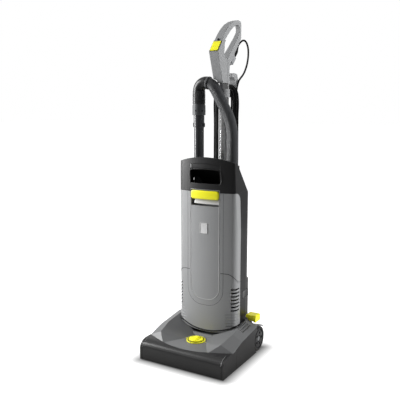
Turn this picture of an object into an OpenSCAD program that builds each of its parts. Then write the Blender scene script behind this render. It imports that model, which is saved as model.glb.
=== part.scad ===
// Commercial upright vacuum cleaner, in millimetres.
// +X is the machine's right, +Y its back and +Z up. The origin is on the floor, under the middle.

/* [Foot] */
// Width of the foot
foot_w = 340; // [320:1:400]
// Front face of the foot, ahead of the origin
foot_front = 217; // [210:1:240]
// Height of the rounded front hood
hood_h = 72.5; // [70:0.5:80]
// Wall of the black foot mouldings
foot_wall = 4; // [3:0.5:5]
// Height of the flat middle of the grey cover
cover_mid_h = 70; // [68:0.5:74]
// Height of the cover's ridges at their rear end
cover_rear_h = 127; // [123:1:131]
// Wall of the grey cover
cover_wall = 3; // [2:0.5:4]
// How far the cover's front edge bows forward
cover_bow = 50; // [40:1:60]
// Thickness of the sole plate
sole_t = 3; // [2:0.5:4]

/* [Brush and drive] */
// Radius of the brush roller's core
core_r = 15; // [12:0.5:18]
// Radius over the bristles
bristle_r = 32; // [28:0.5:33]
// Radius of the brush shaft
brush_shaft_r = 5; // [4:0.5:6]
// Radius of the pulley on the brush
brush_pulley_r = 11; // [9:0.5:14]
// Radius of the pulley on the brush motor
motor_pulley_r = 8; // [6:0.5:10]
// Radius of the brush motor
brush_motor_r = 26; // [22:1:28]
// Thickness of the belt
belt_t = 1.6; // [1:0.1:2.5]

/* [Height setting] */
// Radius of the yellow scale ring
dial_r = 34; // [30:1:38]
// Radius of the knob
knob_r = 26; // [22:1:28]
// Radius of the front rollers
roller_r = 10; // [8:0.5:11]

/* [Wheels] */
// Radius of the rear wheels
wheel_r = 46; // [42:1:50]
// Width of a rear wheel
wheel_w = 20; // [16:1:22]
// Thickness of a tyre
tyre_t = 6; // [4:0.5:9]
// Radius of the wheel axle
axle_r = 5; // [4:0.5:7]
// Radius of the pin on which the upright leans back
pivot_r = 8; // [6:0.5:10]

/* [Body] */
// Half the width of the body
body_hw = 118; // [112:1:119]
// Half the width of the body at its top
body_top_hw = 111; // [106:1:116]
// How far the body's front stands ahead of the origin
body_front = 50; // [46:1:56]
// How far the body's back stands behind the origin
body_back = 106; // [102:1:108]
// Radius of the bowed front
front_r = 330; // [260:5:500]
// Height of the body's lower edge
body_z0 = 100; // [98:1:106]
// How far the lower edge dips at the front
body_dip = 15; // [8:1:16]
// Height of the seam between the body and the cap
cap_z = 601; // [580:1:620]
// Height of the cap at its corners
cap_top = 708; // [695:1:720]
// How far the cap's top edge rises in the middle
cap_rise = 18; // [8:1:24]
// Wall of the body's mouldings
wall = 3; // [2.5:0.5:4]
// Gap at the seams between mouldings
seam = 0.6; // [0.4:0.1:1.2]

/* [Bag door] */
// Half the width of the bag door
door_hw = 60; // [50:1:62]
// Height of the door's rounded lower edge
door_z0 = 206; // [196:1:216]
// Width of the frame round the door
door_frame = 13; // [10:1:16]
// Height of the latch
latch_h = 36; // [28:1:40]

/* [Wand and hose] */
// Outer radius of the wand
wand_r = 18.5; // [16:0.5:19]
// Outer radius of the hose
hose_r = 20; // [17:0.5:20]
// Radius of the elbow on the wand
elbow_r = 22.5; // [21:0.5:24]
// Height of the wand's lower end
wand_z0 = 340; // [320:5:380]
// Height of the top of the wand's collar
wand_z1 = 911; // [890:1:920]

/* [Handle] */
// Radius of the handle's steel tube
tube_r = 18.5; // [16:0.5:19]
// Half the width of the handle
handle_hw = 18; // [16:0.5:20]
// Height of the whole machine
machine_h = 1220; // [1200:5:1260]

/* [Mains cord] */
// Diameter of the mains cord
cord_d = 7.2; // [6.4:0.1:7.6]
// Spacing of the cord's turns in the hank
hank_pitch = 7.9; // [7.8:0.1:9]

/* [Hidden] */
$fn = 64;

eps = 0.01;
soft_gap = 0.3;
run_gap = 0.06;
half_foot = foot_w / 2;

// Foot: front hood and cover
hood_nose_h = 44;
hood_nose_d = 40;
hood_back = -122;
cover_tip_y = 70 - foot_front;
cover_lip_y = cover_tip_y - cover_bow;
cover_arc_r = (half_foot * half_foot + cover_bow * cover_bow) / (2 * cover_bow);
cover_back = 47;
crest_x = half_foot - 46;
crest_y0 = cover_tip_y - 3;
crest_z0 = 93;
crest_rise0 = 0.27;
crest_y1 = crest_y0 + 70;
crest_z1 = crest_z0 + crest_rise0 * (crest_y1 - crest_y0);
crest_rise1 = (cover_rear_h - crest_z1) / (cover_back - crest_y1);
outer_fall = 0.485;
inner_fall = 0.411;
valley_rear_h = cover_mid_h + 8;
body_gap = 3;
base_back = 24;
arch_gap = 4;

// Foot: brush, motor and belt
brush_y = 57 - foot_front;
brush_z = bristle_r + 1.5;
brush_hw = half_foot - 24;
motor_y = -52;
motor_z = sole_t + brush_motor_r + 8;
pulley_x0 = half_foot - 15;
pulley_x1 = half_foot - 6;
motor_shaft_r = 4;
slot_hw = half_foot - 28;
slot_y0 = brush_y - 28;
slot_y1 = brush_y + 28;

// Foot: height setting
dial_y = -108;
roller_z = roller_r + 1;
roller_x = 46;
roller_w = 16;
roller_axle_r = 3;
guide_x = 26;
guide_r = 3;
carriage_z0 = 24;
carriage_z1 = 32;
carriage_hd = 7;
cam_z = 38;
cam_r = 12;
knob_shaft_r = 6;
set_travel = 10;

// Rear wheels and pivot
axle_y = 73;
axle_z = wheel_r;
pivot_y = 73;
pivot_z = 78;
wheel_x1 = half_foot - 4;
wheel_x0 = wheel_x1 - wheel_w;
ear_x0 = body_hw + 4;
ear_x1 = wheel_x0 - 6;
boss_r = 15;

// Body
corner_r = 22;
rear_r = 55;
side_split = 8;
bulge_y = 14;
bulge_z0 = 122;
bulge_z1 = 268;
cover_seam_z = 311;
seam_r = 34;
shell_r = 30;
taper_z = 470;
deck_z = 622;
shoulder_y = -12;
slope_y = 66;
slope_z = 604;
slope_panel = 5;
floor_z = 322;
floor_t = 4;
door_z1 = cap_z + 10;
latch_z0 = door_z1 - latch_h;
recess_h = 24;
door_corner = 46;
frame_z0 = door_z0 - 20;
window_hw = 61;
window_z0 = deck_z + 10;
window_z1 = 698;
window_rise = 7;
spine_hw = 29;
spine_y = 117;
spine_z0 = 380;

// Handle tube, wand and hose
tube_y = 93.6;
tube_z0 = 476;
tube_t = 1.5;
tube_screws_z = [500, 545];
wand_x = -80;
wand_y = 50;
wand_t = 1.5;
collar_h = 40;
elbow_z = 958;
elbow_bend = 30;
elbow_turn = 105;
cuff_turn = 45;
cuff_bend = 50;
hose_run = 90;
hose_bend = 200;
inlet_x = 60;
inlet_z = 640;
hose_end_z = 690;
socket_h = 62;

// Handle
top_z = machine_h;
tube_z1 = top_z - 180;
handle_z0 = top_z - 234;
bar_z = top_z - 160;
button_y = 30.5;
button_z = top_z - 107.5;
button_tilt = 49.8;
button_l = 44;
button_hw = 15;
hook_z = top_z - 265;
socket_w = 21;
connector_end = 104;

// Release pedal
pedal_pin_y = 59;
pedal_pin_z = 109;
pedal_pin_r = 2.5;
pedal_x0 = ear_x0 - 0.5;
pedal_x1 = wheel_x1 - 5;
pedal_top = 138;

// Motor room
motor_x = 18;
fan_y = 34;
motor_r = 54;
motor_z0 = 128;
motor_z1 = 268;
fan_shaft_r = 4;
fan_z = 236;

// Mains cord
hank_x = -14;
hank_y = 124;
hank_top = top_z - 280;
hank_low = 440;
hank_r = 29;
hank_layers = 4;
hank_turns = 2;
low_hook_z = hank_low - 7;
hook_neck_r = 8.5;
plug_top = 560;
plug_x = -10;
plug_y = 137;

// ---------- helpers ----------
// Points on an arc from angle a0 to a1.
function arc(cx, cy, r, a0, a1, n) =
    [for (i = [0:n]) let (a = a0 + (a1 - a0) * i / n) [cx + r * cos(a), cy + r * sin(a)]];

// Draws an X-Z outline from y0 to y1.
module along_y(y0, y1) {
    translate([0, y1, 0]) rotate([90, 0, 0]) linear_extrude(y1 - y0) children();
}

// Draws a Y-Z outline from x0 to x1.
module along_x(x0, x1) {
    translate([x0, 0, 0]) rotate([90, 0, 90]) linear_extrude(x1 - x0) children();
}

// Draws an X-Y outline from z0 to z1.
module along_z(z0, z1) {
    translate([0, 0, z0]) linear_extrude(z1 - z0) children();
}

module rod_x(x0, x1, r, y, z) {
    translate([x0, y, z]) rotate([0, 90, 0]) cylinder(r = r, h = x1 - x0);
}

module rod_y(y0, y1, r, x, z) {
    translate([x, y1, z]) rotate([90, 0, 0]) cylinder(r = r, h = y1 - y0);
}

module both_sides() {
    children();
    mirror([1, 0, 0]) children();
}

module box(x0, x1, y0, y1, z0, z1) {
    translate([x0, y0, z0]) cube([x1 - x0, y1 - y0, z1 - z0]);
}

// Everything below the plane through p that climbs by sx along X and by sy along Y.
module below(p, sx, sy) {
    turn = atan(-sx);
    translate(p) rotate([atan(sy * cos(turn)), turn, 0]) translate([-400, -400, -400]) cube([800, 800, 400]);
}

// ---------- foot ----------
// Side outline of the front hood, drawn in from its outer face by inset.
function hood_side(inset) =
    let (f = -foot_front, a = hood_nose_d, b = hood_h - hood_nose_h)
    concat(
        [[f + inset, sole_t - inset]],
        [for (i = [0:8]) let (t = 180 - i * 90 / 8)
            [f + a + (a - inset) * cos(t), hood_nose_h + (b - inset) * sin(t)]],
        [[hood_back, hood_h - inset], [hood_back, sole_t - inset]]);

// Height of the cover's ridges, and of its outer edge, at a place along the foot.
function crest_h(y) = min(crest_z0 + crest_rise0 * (y - crest_y0), crest_z1 + crest_rise1 * (y - crest_y1));
function edge_h(y) = crest_h(y) - outer_fall * (half_foot - crest_x);

// Plan of the foot with the cover's bowed front edge.
module cover_plan(inset) {
    intersection() {
        translate([-half_foot + inset, cover_lip_y - 5])
            square([2 * (half_foot - inset), cover_back - cover_lip_y + 5 - inset]);
        translate([0, cover_lip_y + cover_arc_r]) circle(r = cover_arc_r - inset, $fn = 200);
    }
}

// The room that the body's lower end takes up in the cover.
module body_room(gap) {
    union() {
        offset_plan(-gap);
        translate([-body_hw - gap, 0]) square([2 * (body_hw + gap), cover_back + 20]);
    }
}

module front_hood() {
    color("#2b2b2c") difference() {
        along_x(-half_foot, half_foot) polygon(hood_side(0));
        along_x(-half_foot + foot_wall, half_foot - foot_wall) polygon(hood_side(foot_wall - 0.5));
        along_z(cover_mid_h - cover_wall - 0.4, hood_h + 20) intersection() {
            translate([0, cover_lip_y + cover_arc_r]) circle(r = cover_arc_r + 0.6, $fn = 200);
            translate([-half_foot + foot_wall + 0.5, cover_lip_y - 10]) square([foot_w - 2 * foot_wall - 1, 300]);
        }
        both_sides() along_x(half_foot - foot_wall - 0.7, half_foot + 1) polygon([
            [cover_tip_y - 4, 120], [cover_tip_y - 4, edge_h(cover_tip_y) - cover_wall - 1.6],
            [cover_tip_y, edge_h(cover_tip_y) - cover_wall - 0.4],
            [hood_back + 1, edge_h(hood_back + 1) - cover_wall - 0.4], [hood_back + 1, 120]]);
    }
}

// Side outline of the rear part of the foot, with its wheel arch.
module base_side() {
    difference() {
        polygon([
            [hood_back + seam, sole_t], [hood_back + seam, edge_h(hood_back + seam) - cover_wall - 0.4],
            [crest_y1, edge_h(crest_y1) - cover_wall - 0.4],
            [cover_back - 2, edge_h(cover_back - 2) - cover_wall - 0.4], [cover_back - 2, sole_t]]);
        translate([axle_y, axle_z]) circle(r = wheel_r + arch_gap);
    }
}

module ear_side() {
    union() {
        polygon([[base_back - foot_wall, 14], [axle_y, axle_z - 16], [axle_y + 16, axle_z],
            [axle_y + 18, pivot_z], [pivot_y, pivot_z + 19], [base_back - foot_wall, 84]]);
        translate([pivot_y, pivot_z]) circle(r = 20);
        translate([axle_y, axle_z]) circle(r = 17);
    }
}

module rear_base() {
    color("#262627") difference() {
        union() {
            both_sides() along_x(half_foot - foot_wall, half_foot) base_side();
            box(-half_foot + foot_wall, half_foot - foot_wall, base_back - foot_wall, base_back, sole_t, 66);
            both_sides() box(ear_x0, half_foot - foot_wall, base_back - foot_wall, base_back, sole_t,
                edge_h(base_back) - cover_wall - 4);
            // Deck under the body's lower edge.
            difference() {
                box(-body_hw, body_hw, -62, base_back, 64, 67);
                box(wand_x - 23, wand_x + 23, 8, base_back + 1, 60, 70);
            }
            // Plates that carry the pedal's pin.
            for (x = [ear_x0 + 2, ear_x1 - 4]) along_x(x, x + 4)
                polygon([[50, 84], [70, 84], [66, 114], [54, 114]]);
            both_sides() along_x(ear_x0, ear_x1) ear_side();
            both_sides() along_x(ear_x1 - eps, half_foot - 5)
                polygon([[50, 103], [50, 99.5], [76, 95], [112, 82.5], [114, 86], [78, 98.6]]);
            box(-half_foot + foot_wall, brush_hw + 1, slot_y1 + 4, slot_y1 + 7, sole_t, 60);
        }
        both_sides() rod_x(ear_x0 - 1, ear_x1 + 1, pivot_r + run_gap, pivot_y, pivot_z);
        both_sides() rod_x(ear_x0 - 1, ear_x1 + 1, axle_r, axle_y, axle_z);
        rod_y(slot_y1 + 3, slot_y1 + 8, 19, wand_x, 36);
        box(wand_x - 23, wand_x + 23, base_back - 10, base_back + 1, 16, 70);
        rod_x(ear_x0, ear_x1 + 1, pedal_pin_r, pedal_pin_y, pedal_pin_z);
    }
}

// One ridge of the cover: an outer and an inner slope, each in two steps, and its front end.
module cover_ridge() {
    p0 = [crest_x, crest_y0, crest_z0];
    p1 = [crest_x, crest_y1, crest_z1];
    intersection() {
        box(0, half_foot + 20, cover_lip_y - 10, cover_back + 10, 40, 150);
        below(p0, -outer_fall, crest_rise0);
        below(p1, -outer_fall, crest_rise1);
        below(p0, inner_fall, crest_rise0);
        below(p1, inner_fall, crest_rise1);
        below(p0, 0.359, 0.154);
        below(p0, -0.541, 1.131);
    }
}

module cover_body(drop, inset) {
    translate([0, 0, -drop]) intersection() {
        along_z(40, 150) difference() {
            cover_plan(inset);
            body_room(body_gap);
        }
        union() {
            along_x(-half_foot - 5, half_foot + 5) polygon([
                [cover_lip_y - 5, 40], [cover_lip_y - 5, cover_mid_h], [dial_y + dial_r + 4, cover_mid_h],
                [-body_front - 10, valley_rear_h], [cover_back + 5, valley_rear_h], [cover_back + 5, 40]]);
            both_sides() cover_ridge();
        }
    }
}

module nozzle_cover() {
    color("#8b8c8d") difference() {
        cover_body(0, 0);
        cover_body(cover_wall, -1);
        translate([0, dial_y, 40]) cylinder(r = knob_shaft_r + 1, h = 60);
        for (i = [0:2], k = [0:7])
            box(crest_x + 6 + i * 9, crest_x + 12 + i * 9, k * 8 - 36, k * 8 - 32, 60, 150);
    }
}

module sole_plate() {
    color("#6d7072") difference() {
        union() {
            box(-half_foot + 2, half_foot - 2, 10 - foot_front, base_back, 0, sole_t);
            both_sides() translate([guide_x, dial_y, sole_t - eps]) cylinder(r = guide_r, h = 50);
        }
        box(-slot_hw, slot_hw, slot_y0, slot_y1, -1, sole_t + 1);
        both_sides() box(roller_x - roller_w / 2 - 5.5, roller_x + roller_w / 2 + 5.5,
            dial_y - roller_r - 3, dial_y + roller_r + 3, -1, sole_t + 1);
        for (p = screw_places()) translate([p[0], p[1], -1]) cylinder(r = 3.2, h = sole_t + 2);
    }
}

function screw_places() =
    [for (x = [30 - half_foot, 0, half_foot - 30], y = [brush_y + 40, base_back - 14]) [x, y]];

module sole_screws() {
    color("#c9cccf") for (p = screw_places()) translate([p[0], p[1], 0.4]) difference() {
        cylinder(r = 3.2, h = sole_t + 7);
        translate([0, 0, -1]) cylinder(r = 1.6, h = 2.4, $fn = 6);
    }
}

module dial_ring() {
    color("#e8e000") translate([0, dial_y, cover_mid_h]) difference() {
        cylinder(r = dial_r, h = 3);
        translate([0, 0, -1]) cylinder(r = knob_r + 0.8, h = 5);
        for (a = [0:30:330]) rotate(a) box(dial_r - 3.5, dial_r - 0.8, -0.8, 0.8, 2.2, 5);
    }
}

module height_knob() {
    color("#ddd800") translate([0, dial_y, 0]) union() {
        difference() {
            translate([0, 0, cover_mid_h + soft_gap]) cylinder(r = knob_r, h = 6);
            for (a = [15:30:345]) rotate(a) translate([knob_r + 1.2, 0, 60]) cylinder(r = 2.4, h = 30, $fn = 24);
        }
        translate([0, 0, cover_mid_h + 5]) intersection() {
            box(-7, 7, -knob_r + 2, knob_r - 2, 0, 8);
            along_x(-8, 8) polygon(concat([[-24, 0]], arc(0, -31, 40, 126, 54, 10), [[24, 0]]));
        }
        translate([0, 0, cam_z]) cylinder(r = knob_shaft_r, h = cover_mid_h - cam_z + 2);
        translate([0, 0, cam_z]) cylinder(r = cam_r, h = 5);
    }
}

module roller_carriage() {
    lug = 4;
    color("#3a3b3d") translate([0, dial_y, 0]) difference() {
        union() {
            box(-roller_x - 12.6, roller_x + 12.6, -carriage_hd, carriage_hd, carriage_z0, carriage_z1);
            translate([0, 0, carriage_z1 - eps]) cylinder(r = 8, h = cam_z - soft_gap - carriage_z1);
            both_sides() for (x = [roller_x - roller_w / 2 - lug - 0.6, roller_x + roller_w / 2 + 0.6])
                box(x, x + lug, -6, 6, roller_z - 6, carriage_z0 + eps);
        }
        both_sides() translate([guide_x, 0, 0]) cylinder(r = guide_r + run_gap, h = 80);
        rod_x(-90, 90, roller_axle_r + run_gap, 0, roller_z);
    }
}

module roller_left() roller(-roller_x);
module roller_right() roller(roller_x);

module roller(x) {
    color("#4a4b4d") translate([x, dial_y, roller_z]) union() {
        rod_x(-roller_w / 2, roller_w / 2, roller_r, 0, 0);
        rod_x(-roller_w / 2 - 5, roller_w / 2 + 5, roller_axle_r, 0, 0);
    }
}

module brush_core() {
    color("#3c3d40") union() {
        difference() {
            rod_x(-brush_hw, brush_hw, core_r, brush_y, brush_z);
            both_sides() for (i = [0:5]) rod_x(brush_hw - 4, brush_hw + 1, 2, brush_y + 10 * cos(i * 60),
                brush_z + 10 * sin(i * 60));
        }
        rod_x(-brush_hw - 14, pulley_x1, brush_shaft_r, brush_y, brush_z);
    }
}

// Two helical rows of bristle tufts round the core.
module brush_bristles() {
    tufts = 28;
    step = (2 * brush_hw - 20) / (tufts - 1);
    color("#1d1d1f") translate([0, brush_y, brush_z]) for (side = [0, 180], i = [0:tufts - 1])
        translate([10 - brush_hw + i * step, 0, 0]) rotate([side + i * 8, 0, 0])
            translate([0, 0, core_r + 0.02]) cylinder(r = 2.6, h = bristle_r - core_r - 0.6, $fn = 24);
}

module brush_pulley() {
    color("#b9bbbe") translate([0, brush_y, brush_z]) difference() {
        union() {
            rod_x(pulley_x0, pulley_x1 - 0.5, brush_pulley_r, 0, 0);
            rod_x(pulley_x0 - 1, pulley_x0, brush_pulley_r + 2, 0, 0);
        }
        rod_x(pulley_x0 - 5, pulley_x1 + 5, brush_shaft_r, 0, 0);
    }
}

module brush_bearings() {
    color("#4b4c4e") for (x = [-brush_hw - 14, brush_hw + 1.5]) difference() {
        translate([x, 0, 0]) union() {
            rod_x(0, 6, 14, brush_y, brush_z);
            box(0, 6, brush_y - 14, brush_y + 14, sole_t, brush_z);
        }
        rod_x(x - 1, x + 8, brush_shaft_r + run_gap, brush_y, brush_z);
    }
}

module brush_motor() {
    color("#7d8184") difference() {
        union() {
            rod_x(-24, 112, brush_motor_r, motor_y, motor_z);
            rod_x(-34, -24, brush_motor_r - 8, motor_y, motor_z);
            rod_x(112, 124, 12, motor_y, motor_z);
            box(0, 12, motor_y - 20, motor_y + 20, sole_t, motor_z);
            box(84, 96, motor_y - 20, motor_y + 20, sole_t, motor_z);
        }
        rod_x(90, 140, motor_shaft_r + run_gap, motor_y, motor_z);
        for (a = [0:30:330]) translate([0, motor_y, motor_z]) rotate([a, 0, 0])
            box(-16, 6, -2.2, 2.2, brush_motor_r - 3, brush_motor_r + 2);
    }
}

module motor_pulley() {
    color("#b9bbbe") union() {
        rod_x(94, pulley_x1, motor_shaft_r, motor_y, motor_z);
        rod_x(pulley_x0, pulley_x1 - 0.5, motor_pulley_r, motor_y, motor_z);
        rod_x(pulley_x0 - 1, pulley_x0, motor_pulley_r + 2, motor_y, motor_z);
    }
}

// Outline of the belt's path round both pulleys, with the pulley radii grown by grow.
module belt_path(grow) {
    dy = motor_y - brush_y;
    dz = motor_z - brush_z;
    len = sqrt(dy * dy + dz * dz);
    tilt = atan2(dz, dy);
    r1 = brush_pulley_r + grow;
    r2 = motor_pulley_r + grow;
    a = acos((r1 - r2) / len);
    translate([brush_y, brush_z]) rotate(tilt)
        polygon(concat(arc(0, 0, r1, a, 360 - a, 24), arc(len, 0, r2, -a, a, 16)));
}

module drive_belt() {
    color("#1a1a1b") along_x(pulley_x0 + 1, pulley_x1 - 1.5) difference() {
        belt_path(soft_gap + belt_t);
        belt_path(soft_gap);
    }
}

module foot_duct() {
    y1 = 6;
    color("#2f3033") difference() {
        union() {
            rod_y(slot_y1 + 4, y1, 19, wand_x, 36);
            rod_y(slot_y1 + 7.4, slot_y1 + 12, 24, wand_x, 36);
        }
        rod_y(slot_y1, y1 + 1, 16, wand_x, 36);
    }
}

// ---------- rear wheels ----------
module tyre(x) {
    color("#1c1c1d") translate([x, axle_y, axle_z]) rotate([0, 90, 0]) rotate_extrude()
        translate([wheel_r - tyre_t, 0]) polygon([[0, 0], [tyre_t - 2, 0], [tyre_t, 2],
            [tyre_t, wheel_w - 2], [tyre_t - 2, wheel_w], [0, wheel_w]]);
}

module hub(x, out) {
    hub_r = wheel_r - tyre_t;
    face = out > 0 ? wheel_w : 0;
    color("#303133") translate([x, axle_y, axle_z]) difference() {
        union() {
            rod_x(0, wheel_w, hub_r, 0, 0);
        }
        translate([face, 0, 0]) rotate([0, 90, 0]) rotate_extrude() translate([hub_r - 9, -4]) square([6, 8]);
        translate([face, 0, 0]) rotate([0, 90, 0]) rotate_extrude() translate([0, -3]) square([13, 6]);
        for (a = [0:72:288]) rod_x(face - 6, face + 6, 5.5, 21 * cos(a), 21 * sin(a));
        rod_x(-1, wheel_w + 1, axle_r + run_gap, 0, 0);
    }
}

module wheel_tyre_left() tyre(-wheel_x1);
module wheel_tyre_right() tyre(wheel_x0);
module wheel_hub_left() hub(-wheel_x1, -1);
module wheel_hub_right() hub(wheel_x0, 1);

module wheel_axles() {
    color("#c2c5c8") both_sides() {
        rod_x(ear_x0 + 2, wheel_x1 - 3, axle_r, axle_y, axle_z);
        rod_x(wheel_x1 - 3 + soft_gap, wheel_x1 - 1, axle_r + 4, axle_y, axle_z);
        rod_x(wheel_x1 - 3 - eps, wheel_x1 - 3 + soft_gap + eps, axle_r - 0.5, axle_y, axle_z);
    }
}

module pivot_pins() {
    color("#c2c5c8") both_sides() rod_x(body_hw - 14, ear_x1 - 1, pivot_r, pivot_y, pivot_z);
}

// ---------- body ----------
// Plan of the body, drawn in from its outer face by inset.
function body_plan(inset, back) =
    let (w = body_hw - inset, r = max(corner_r - inset, 4), big = front_r - inset, cy = front_r - body_front,
        cx = w - r, cc = cy - sqrt((big - r) * (big - r) - cx * cx), phi = asin(cx / (big - r)),
        r2 = max(rear_r - inset, 4), yb = back - inset)
    concat(
        arc(0, cy, big, 270 - phi, 270 + phi, 16),
        arc(cx, cc, r, -90 + phi, 0, 5),
        arc(w - r2, yb - r2, r2, 0, 90, 8),
        arc(r2 - w, yb - r2, r2, 90, 180, 8),
        arc(-cx, cc, r, 180, 270 - phi, 5));

module offset_plan(inset) {
    polygon(body_plan(inset, body_back));
}

// Front view of the body: bowed lower edge, straight sides that lean in above taper_z, bowed top.
function front_view(inset, low, high) =
    let (b = body_hw - inset, t = body_top_hw - inset,
        dip_r = (body_hw * body_hw + body_dip * body_dip) / (2 * body_dip),
        rise_r = (body_top_hw * body_top_hw + cap_rise * cap_rise) / (2 * cap_rise))
    concat(
        [for (i = [-10:10]) let (x = b * i / 10) [x, low + dip_r - body_dip - sqrt(dip_r * dip_r - x * x)]],
        [[b, taper_z]],
        [for (i = [-10:10]) let (x = -t * i / 10) [x, high + cap_rise - rise_r + sqrt(rise_r * rise_r - x * x)]],
        [[-b, taper_z]]);

// The body as a solid, drawn in by inset.
module body_solid(inset, low, high, back = body_back) {
    intersection() {
        along_z(low - 40, high + 60) polygon(body_plan(inset, back));
        along_y(-body_front - 20, back + 20) polygon(front_view(inset, low, high));
    }
}

// What lies above the slope at the back of the body's top.
module above_slope(drop) {
    run = slope_y - shoulder_y;
    fall = cap_top - slope_z;
    along_x(-200, 200) polygon([
        [shoulder_y, cap_top - drop], [slope_y, slope_z - drop],
        [slope_y + run, slope_z - fall - drop], [slope_y + run, 900], [shoulder_y, 900]]);
}

module upper_room() { above_slope(0); }

// U-shaped outline of the door in front view, grown by grow.
function door_view(grow) =
    let (w = door_hw + grow, z0 = door_z0 - grow, r = door_corner + grow)
    concat(
        arc(w - r, z0 + r, r, -90, 0, 8), [[w, door_z1 + 20], [-w, door_z1 + 20]],
        arc(r - w, z0 + r, r, 180, 270, 8));

function frame_view(grow) =
    let (w = door_hw + door_frame + grow, z0 = frame_z0 - grow, r = door_corner + door_frame + grow)
    concat(
        arc(w - r, z0 + r, r, -90, 0, 8), [[w, cover_seam_z + 200], [-w, cover_seam_z + 200]],
        arc(r - w, z0 + r, r, 180, 270, 8));

module skin(low, high, back = body_back) {
    difference() {
        body_solid(0, low, high, back);
        body_solid(wall, low - 20, high + 30, back);
    }
}

module rear_housing() {
    color("#232324") difference() {
        union() {
            // Skin of the rear shell.
            intersection() {
                skin(body_z0, cap_top);
                box(-200, 200, side_split + seam, 200, body_z0 - 60, cap_z);
            }
            // Motor bulge low on the back.
            difference() {
                intersection() {
                    body_solid(wall / 2, bulge_z0 - 30, cap_top, body_back + bulge_y);
                    box(-200, 200, 56, 200, bulge_z0, bulge_z1);
                }
                intersection() {
                    body_solid(wall * 1.5, bulge_z0 - 30, cap_top, body_back + bulge_y);
                    box(-200, 200, 0, 200, bulge_z0 + wall, bulge_z1 - wall);
                }
                body_solid(wall - 0.5, body_z0 - 30, cap_top);
            }
            // Bulkhead between the bag room and the motor room, and the floor.
            intersection() {
                body_solid(wall - 0.5, body_z0 - 30, cap_top);
                union() {
                    box(-200, 200, side_split + seam, 200, floor_z - floor_t, floor_z);
                    box(-200, 200, side_split + seam, 200, body_z0 + 4, body_z0 + 8);
                }
            }
            intersection() {
                body_solid(wall + 0.3, body_z0 - 30, cap_top);
                box(-200, 200, -30, side_split + seam + 1, floor_z - floor_t, floor_z);
            }
            // Sloping panel that closes the back of the body.
            intersection() {
                body_solid(wall - 0.5, body_z0, cap_top);
                above_slope(5);
                box(-200, 200, 50, 200, 500, cap_z - seam);
            }
            // Spine that holds the handle tube.
            box(-spine_hw, spine_hw, body_back - wall - 2, spine_y, spine_z0, slope_z - 40);
            // Arms down to the pivot.
            both_sides() along_x(body_hw - 14, body_hw) union() {
                translate([pivot_y, pivot_z]) circle(r = boss_r);
                polygon([[pivot_y - boss_r, pivot_z], [pivot_y - boss_r, body_z0 + 20],
                    [pivot_y + boss_r - 4, body_z0 + 20], [pivot_y + boss_r, pivot_z]]);
            }
        }
        above_slope(0);
        both_sides() rod_x(body_hw - 20, body_hw + 1, pivot_r, pivot_y, pivot_z);
        translate([0, tube_y, tube_z0]) cylinder(r = tube_r, h = 200);
        translate([motor_x, fan_y, floor_z - floor_t - 1]) cylinder(r = 40, h = floor_t + 2);
        translate([wand_x, wand_y, body_z0 - 20]) cylinder(r = 20, h = 300);
        translate([wand_x, wand_y, slope_z - 80]) cylinder(r = wand_r + 1.5, h = 100);
        translate([inlet_x, wand_y, slope_z - 80]) cylinder(r = 27, h = 100);
        rod_y(90, 200, hook_neck_r + run_gap, 0, low_hook_z);
        for (z = tube_screws_z) rod_y(body_back, spine_y + 1, 2.5, 0, z);
        rear_grille();
    }
}

// Air outlet slots in the rear bulge.
module rear_grille() {
    for (i = [-4:4]) box(i * 14 - 4, i * 14 + 4, body_back - wall - 1, body_back + bulge_y + 5, bulge_z0 + 30, bulge_z1 - 50);
}

// Front view of the seam over the motor cover, which curves down at both sides, drawn in by gap.
function seam_line(gap) =
    let (r = seam_r - gap, x = body_hw - seam_r, z = cover_seam_z - seam_r)
    concat([[-body_hw - 20, z - gap], [-x - r, z - gap]], arc(-x, z, r, 180, 90, 8),
        arc(x, z, r, 90, 0, 8), [[x + r, z - gap], [body_hw + 20, z - gap]]);

// Side view of the corner that the cap takes from the front shell, drawn in by gap.
function cap_corner(gap) =
    let (r = shell_r + gap, y = side_split - shell_r, z = cap_z - seam - shell_r)
    concat([[side_split, cap_z + 2], [y, cap_z + 2]], [for (a = [90:-7.5:15]) [y + r * cos(a), z + r * sin(a)]],
        [[side_split, z + sqrt(r * r - shell_r * shell_r)]]);

module front_shell() {
    color("#9a9b9c") difference() {
        intersection() {
            skin(body_z0, cap_top);
            union() {
                intersection() {
                    box(-200, 200, -200, side_split, body_z0, cap_z - seam);
                    along_y(-100, 50) polygon(concat(seam_line(0), [[200, 800], [-200, 800]]));
                }
                intersection() {
                    box(-200, 200, -200, 0, frame_z0 - 20, cover_seam_z + 1);
                    along_y(-100, 20) polygon(frame_view(0));
                }
            }
        }
        along_y(-100, -10) polygon(door_view(seam));
        along_x(-200, 200) polygon(concat([[side_split + 5, cap_z + 2]], cap_corner(0), [[side_split + 5, cap_z - shell_r]]));
        above_slope(0);
    }
}

module motor_cover() {
    pitch = 13;
    color("#949596") difference() {
        intersection() {
            skin(body_z0, cap_top);
            box(-200, 200, -200, side_split, 0, cover_seam_z + 20);
            along_y(-100, 50) polygon(concat(seam_line(seam), [[200, 0], [-200, 0]]));
        }
        along_y(-100, 20) polygon(frame_view(seam));
        // Air slots at both corners.
        both_sides() for (k = [0:6])
            box(101, body_hw + 1, -60, side_split - 8, 172 + k * pitch, 178 + k * pitch);
        // Shallow ribs below the slots.
        both_sides() for (k = [0:4])
            along_z(112 + k * 11, 117 + k * 11) difference() {
                translate([84, -60]) square([60, 54]);
                offset_plan(1.2);
            }
    }
}

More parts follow.
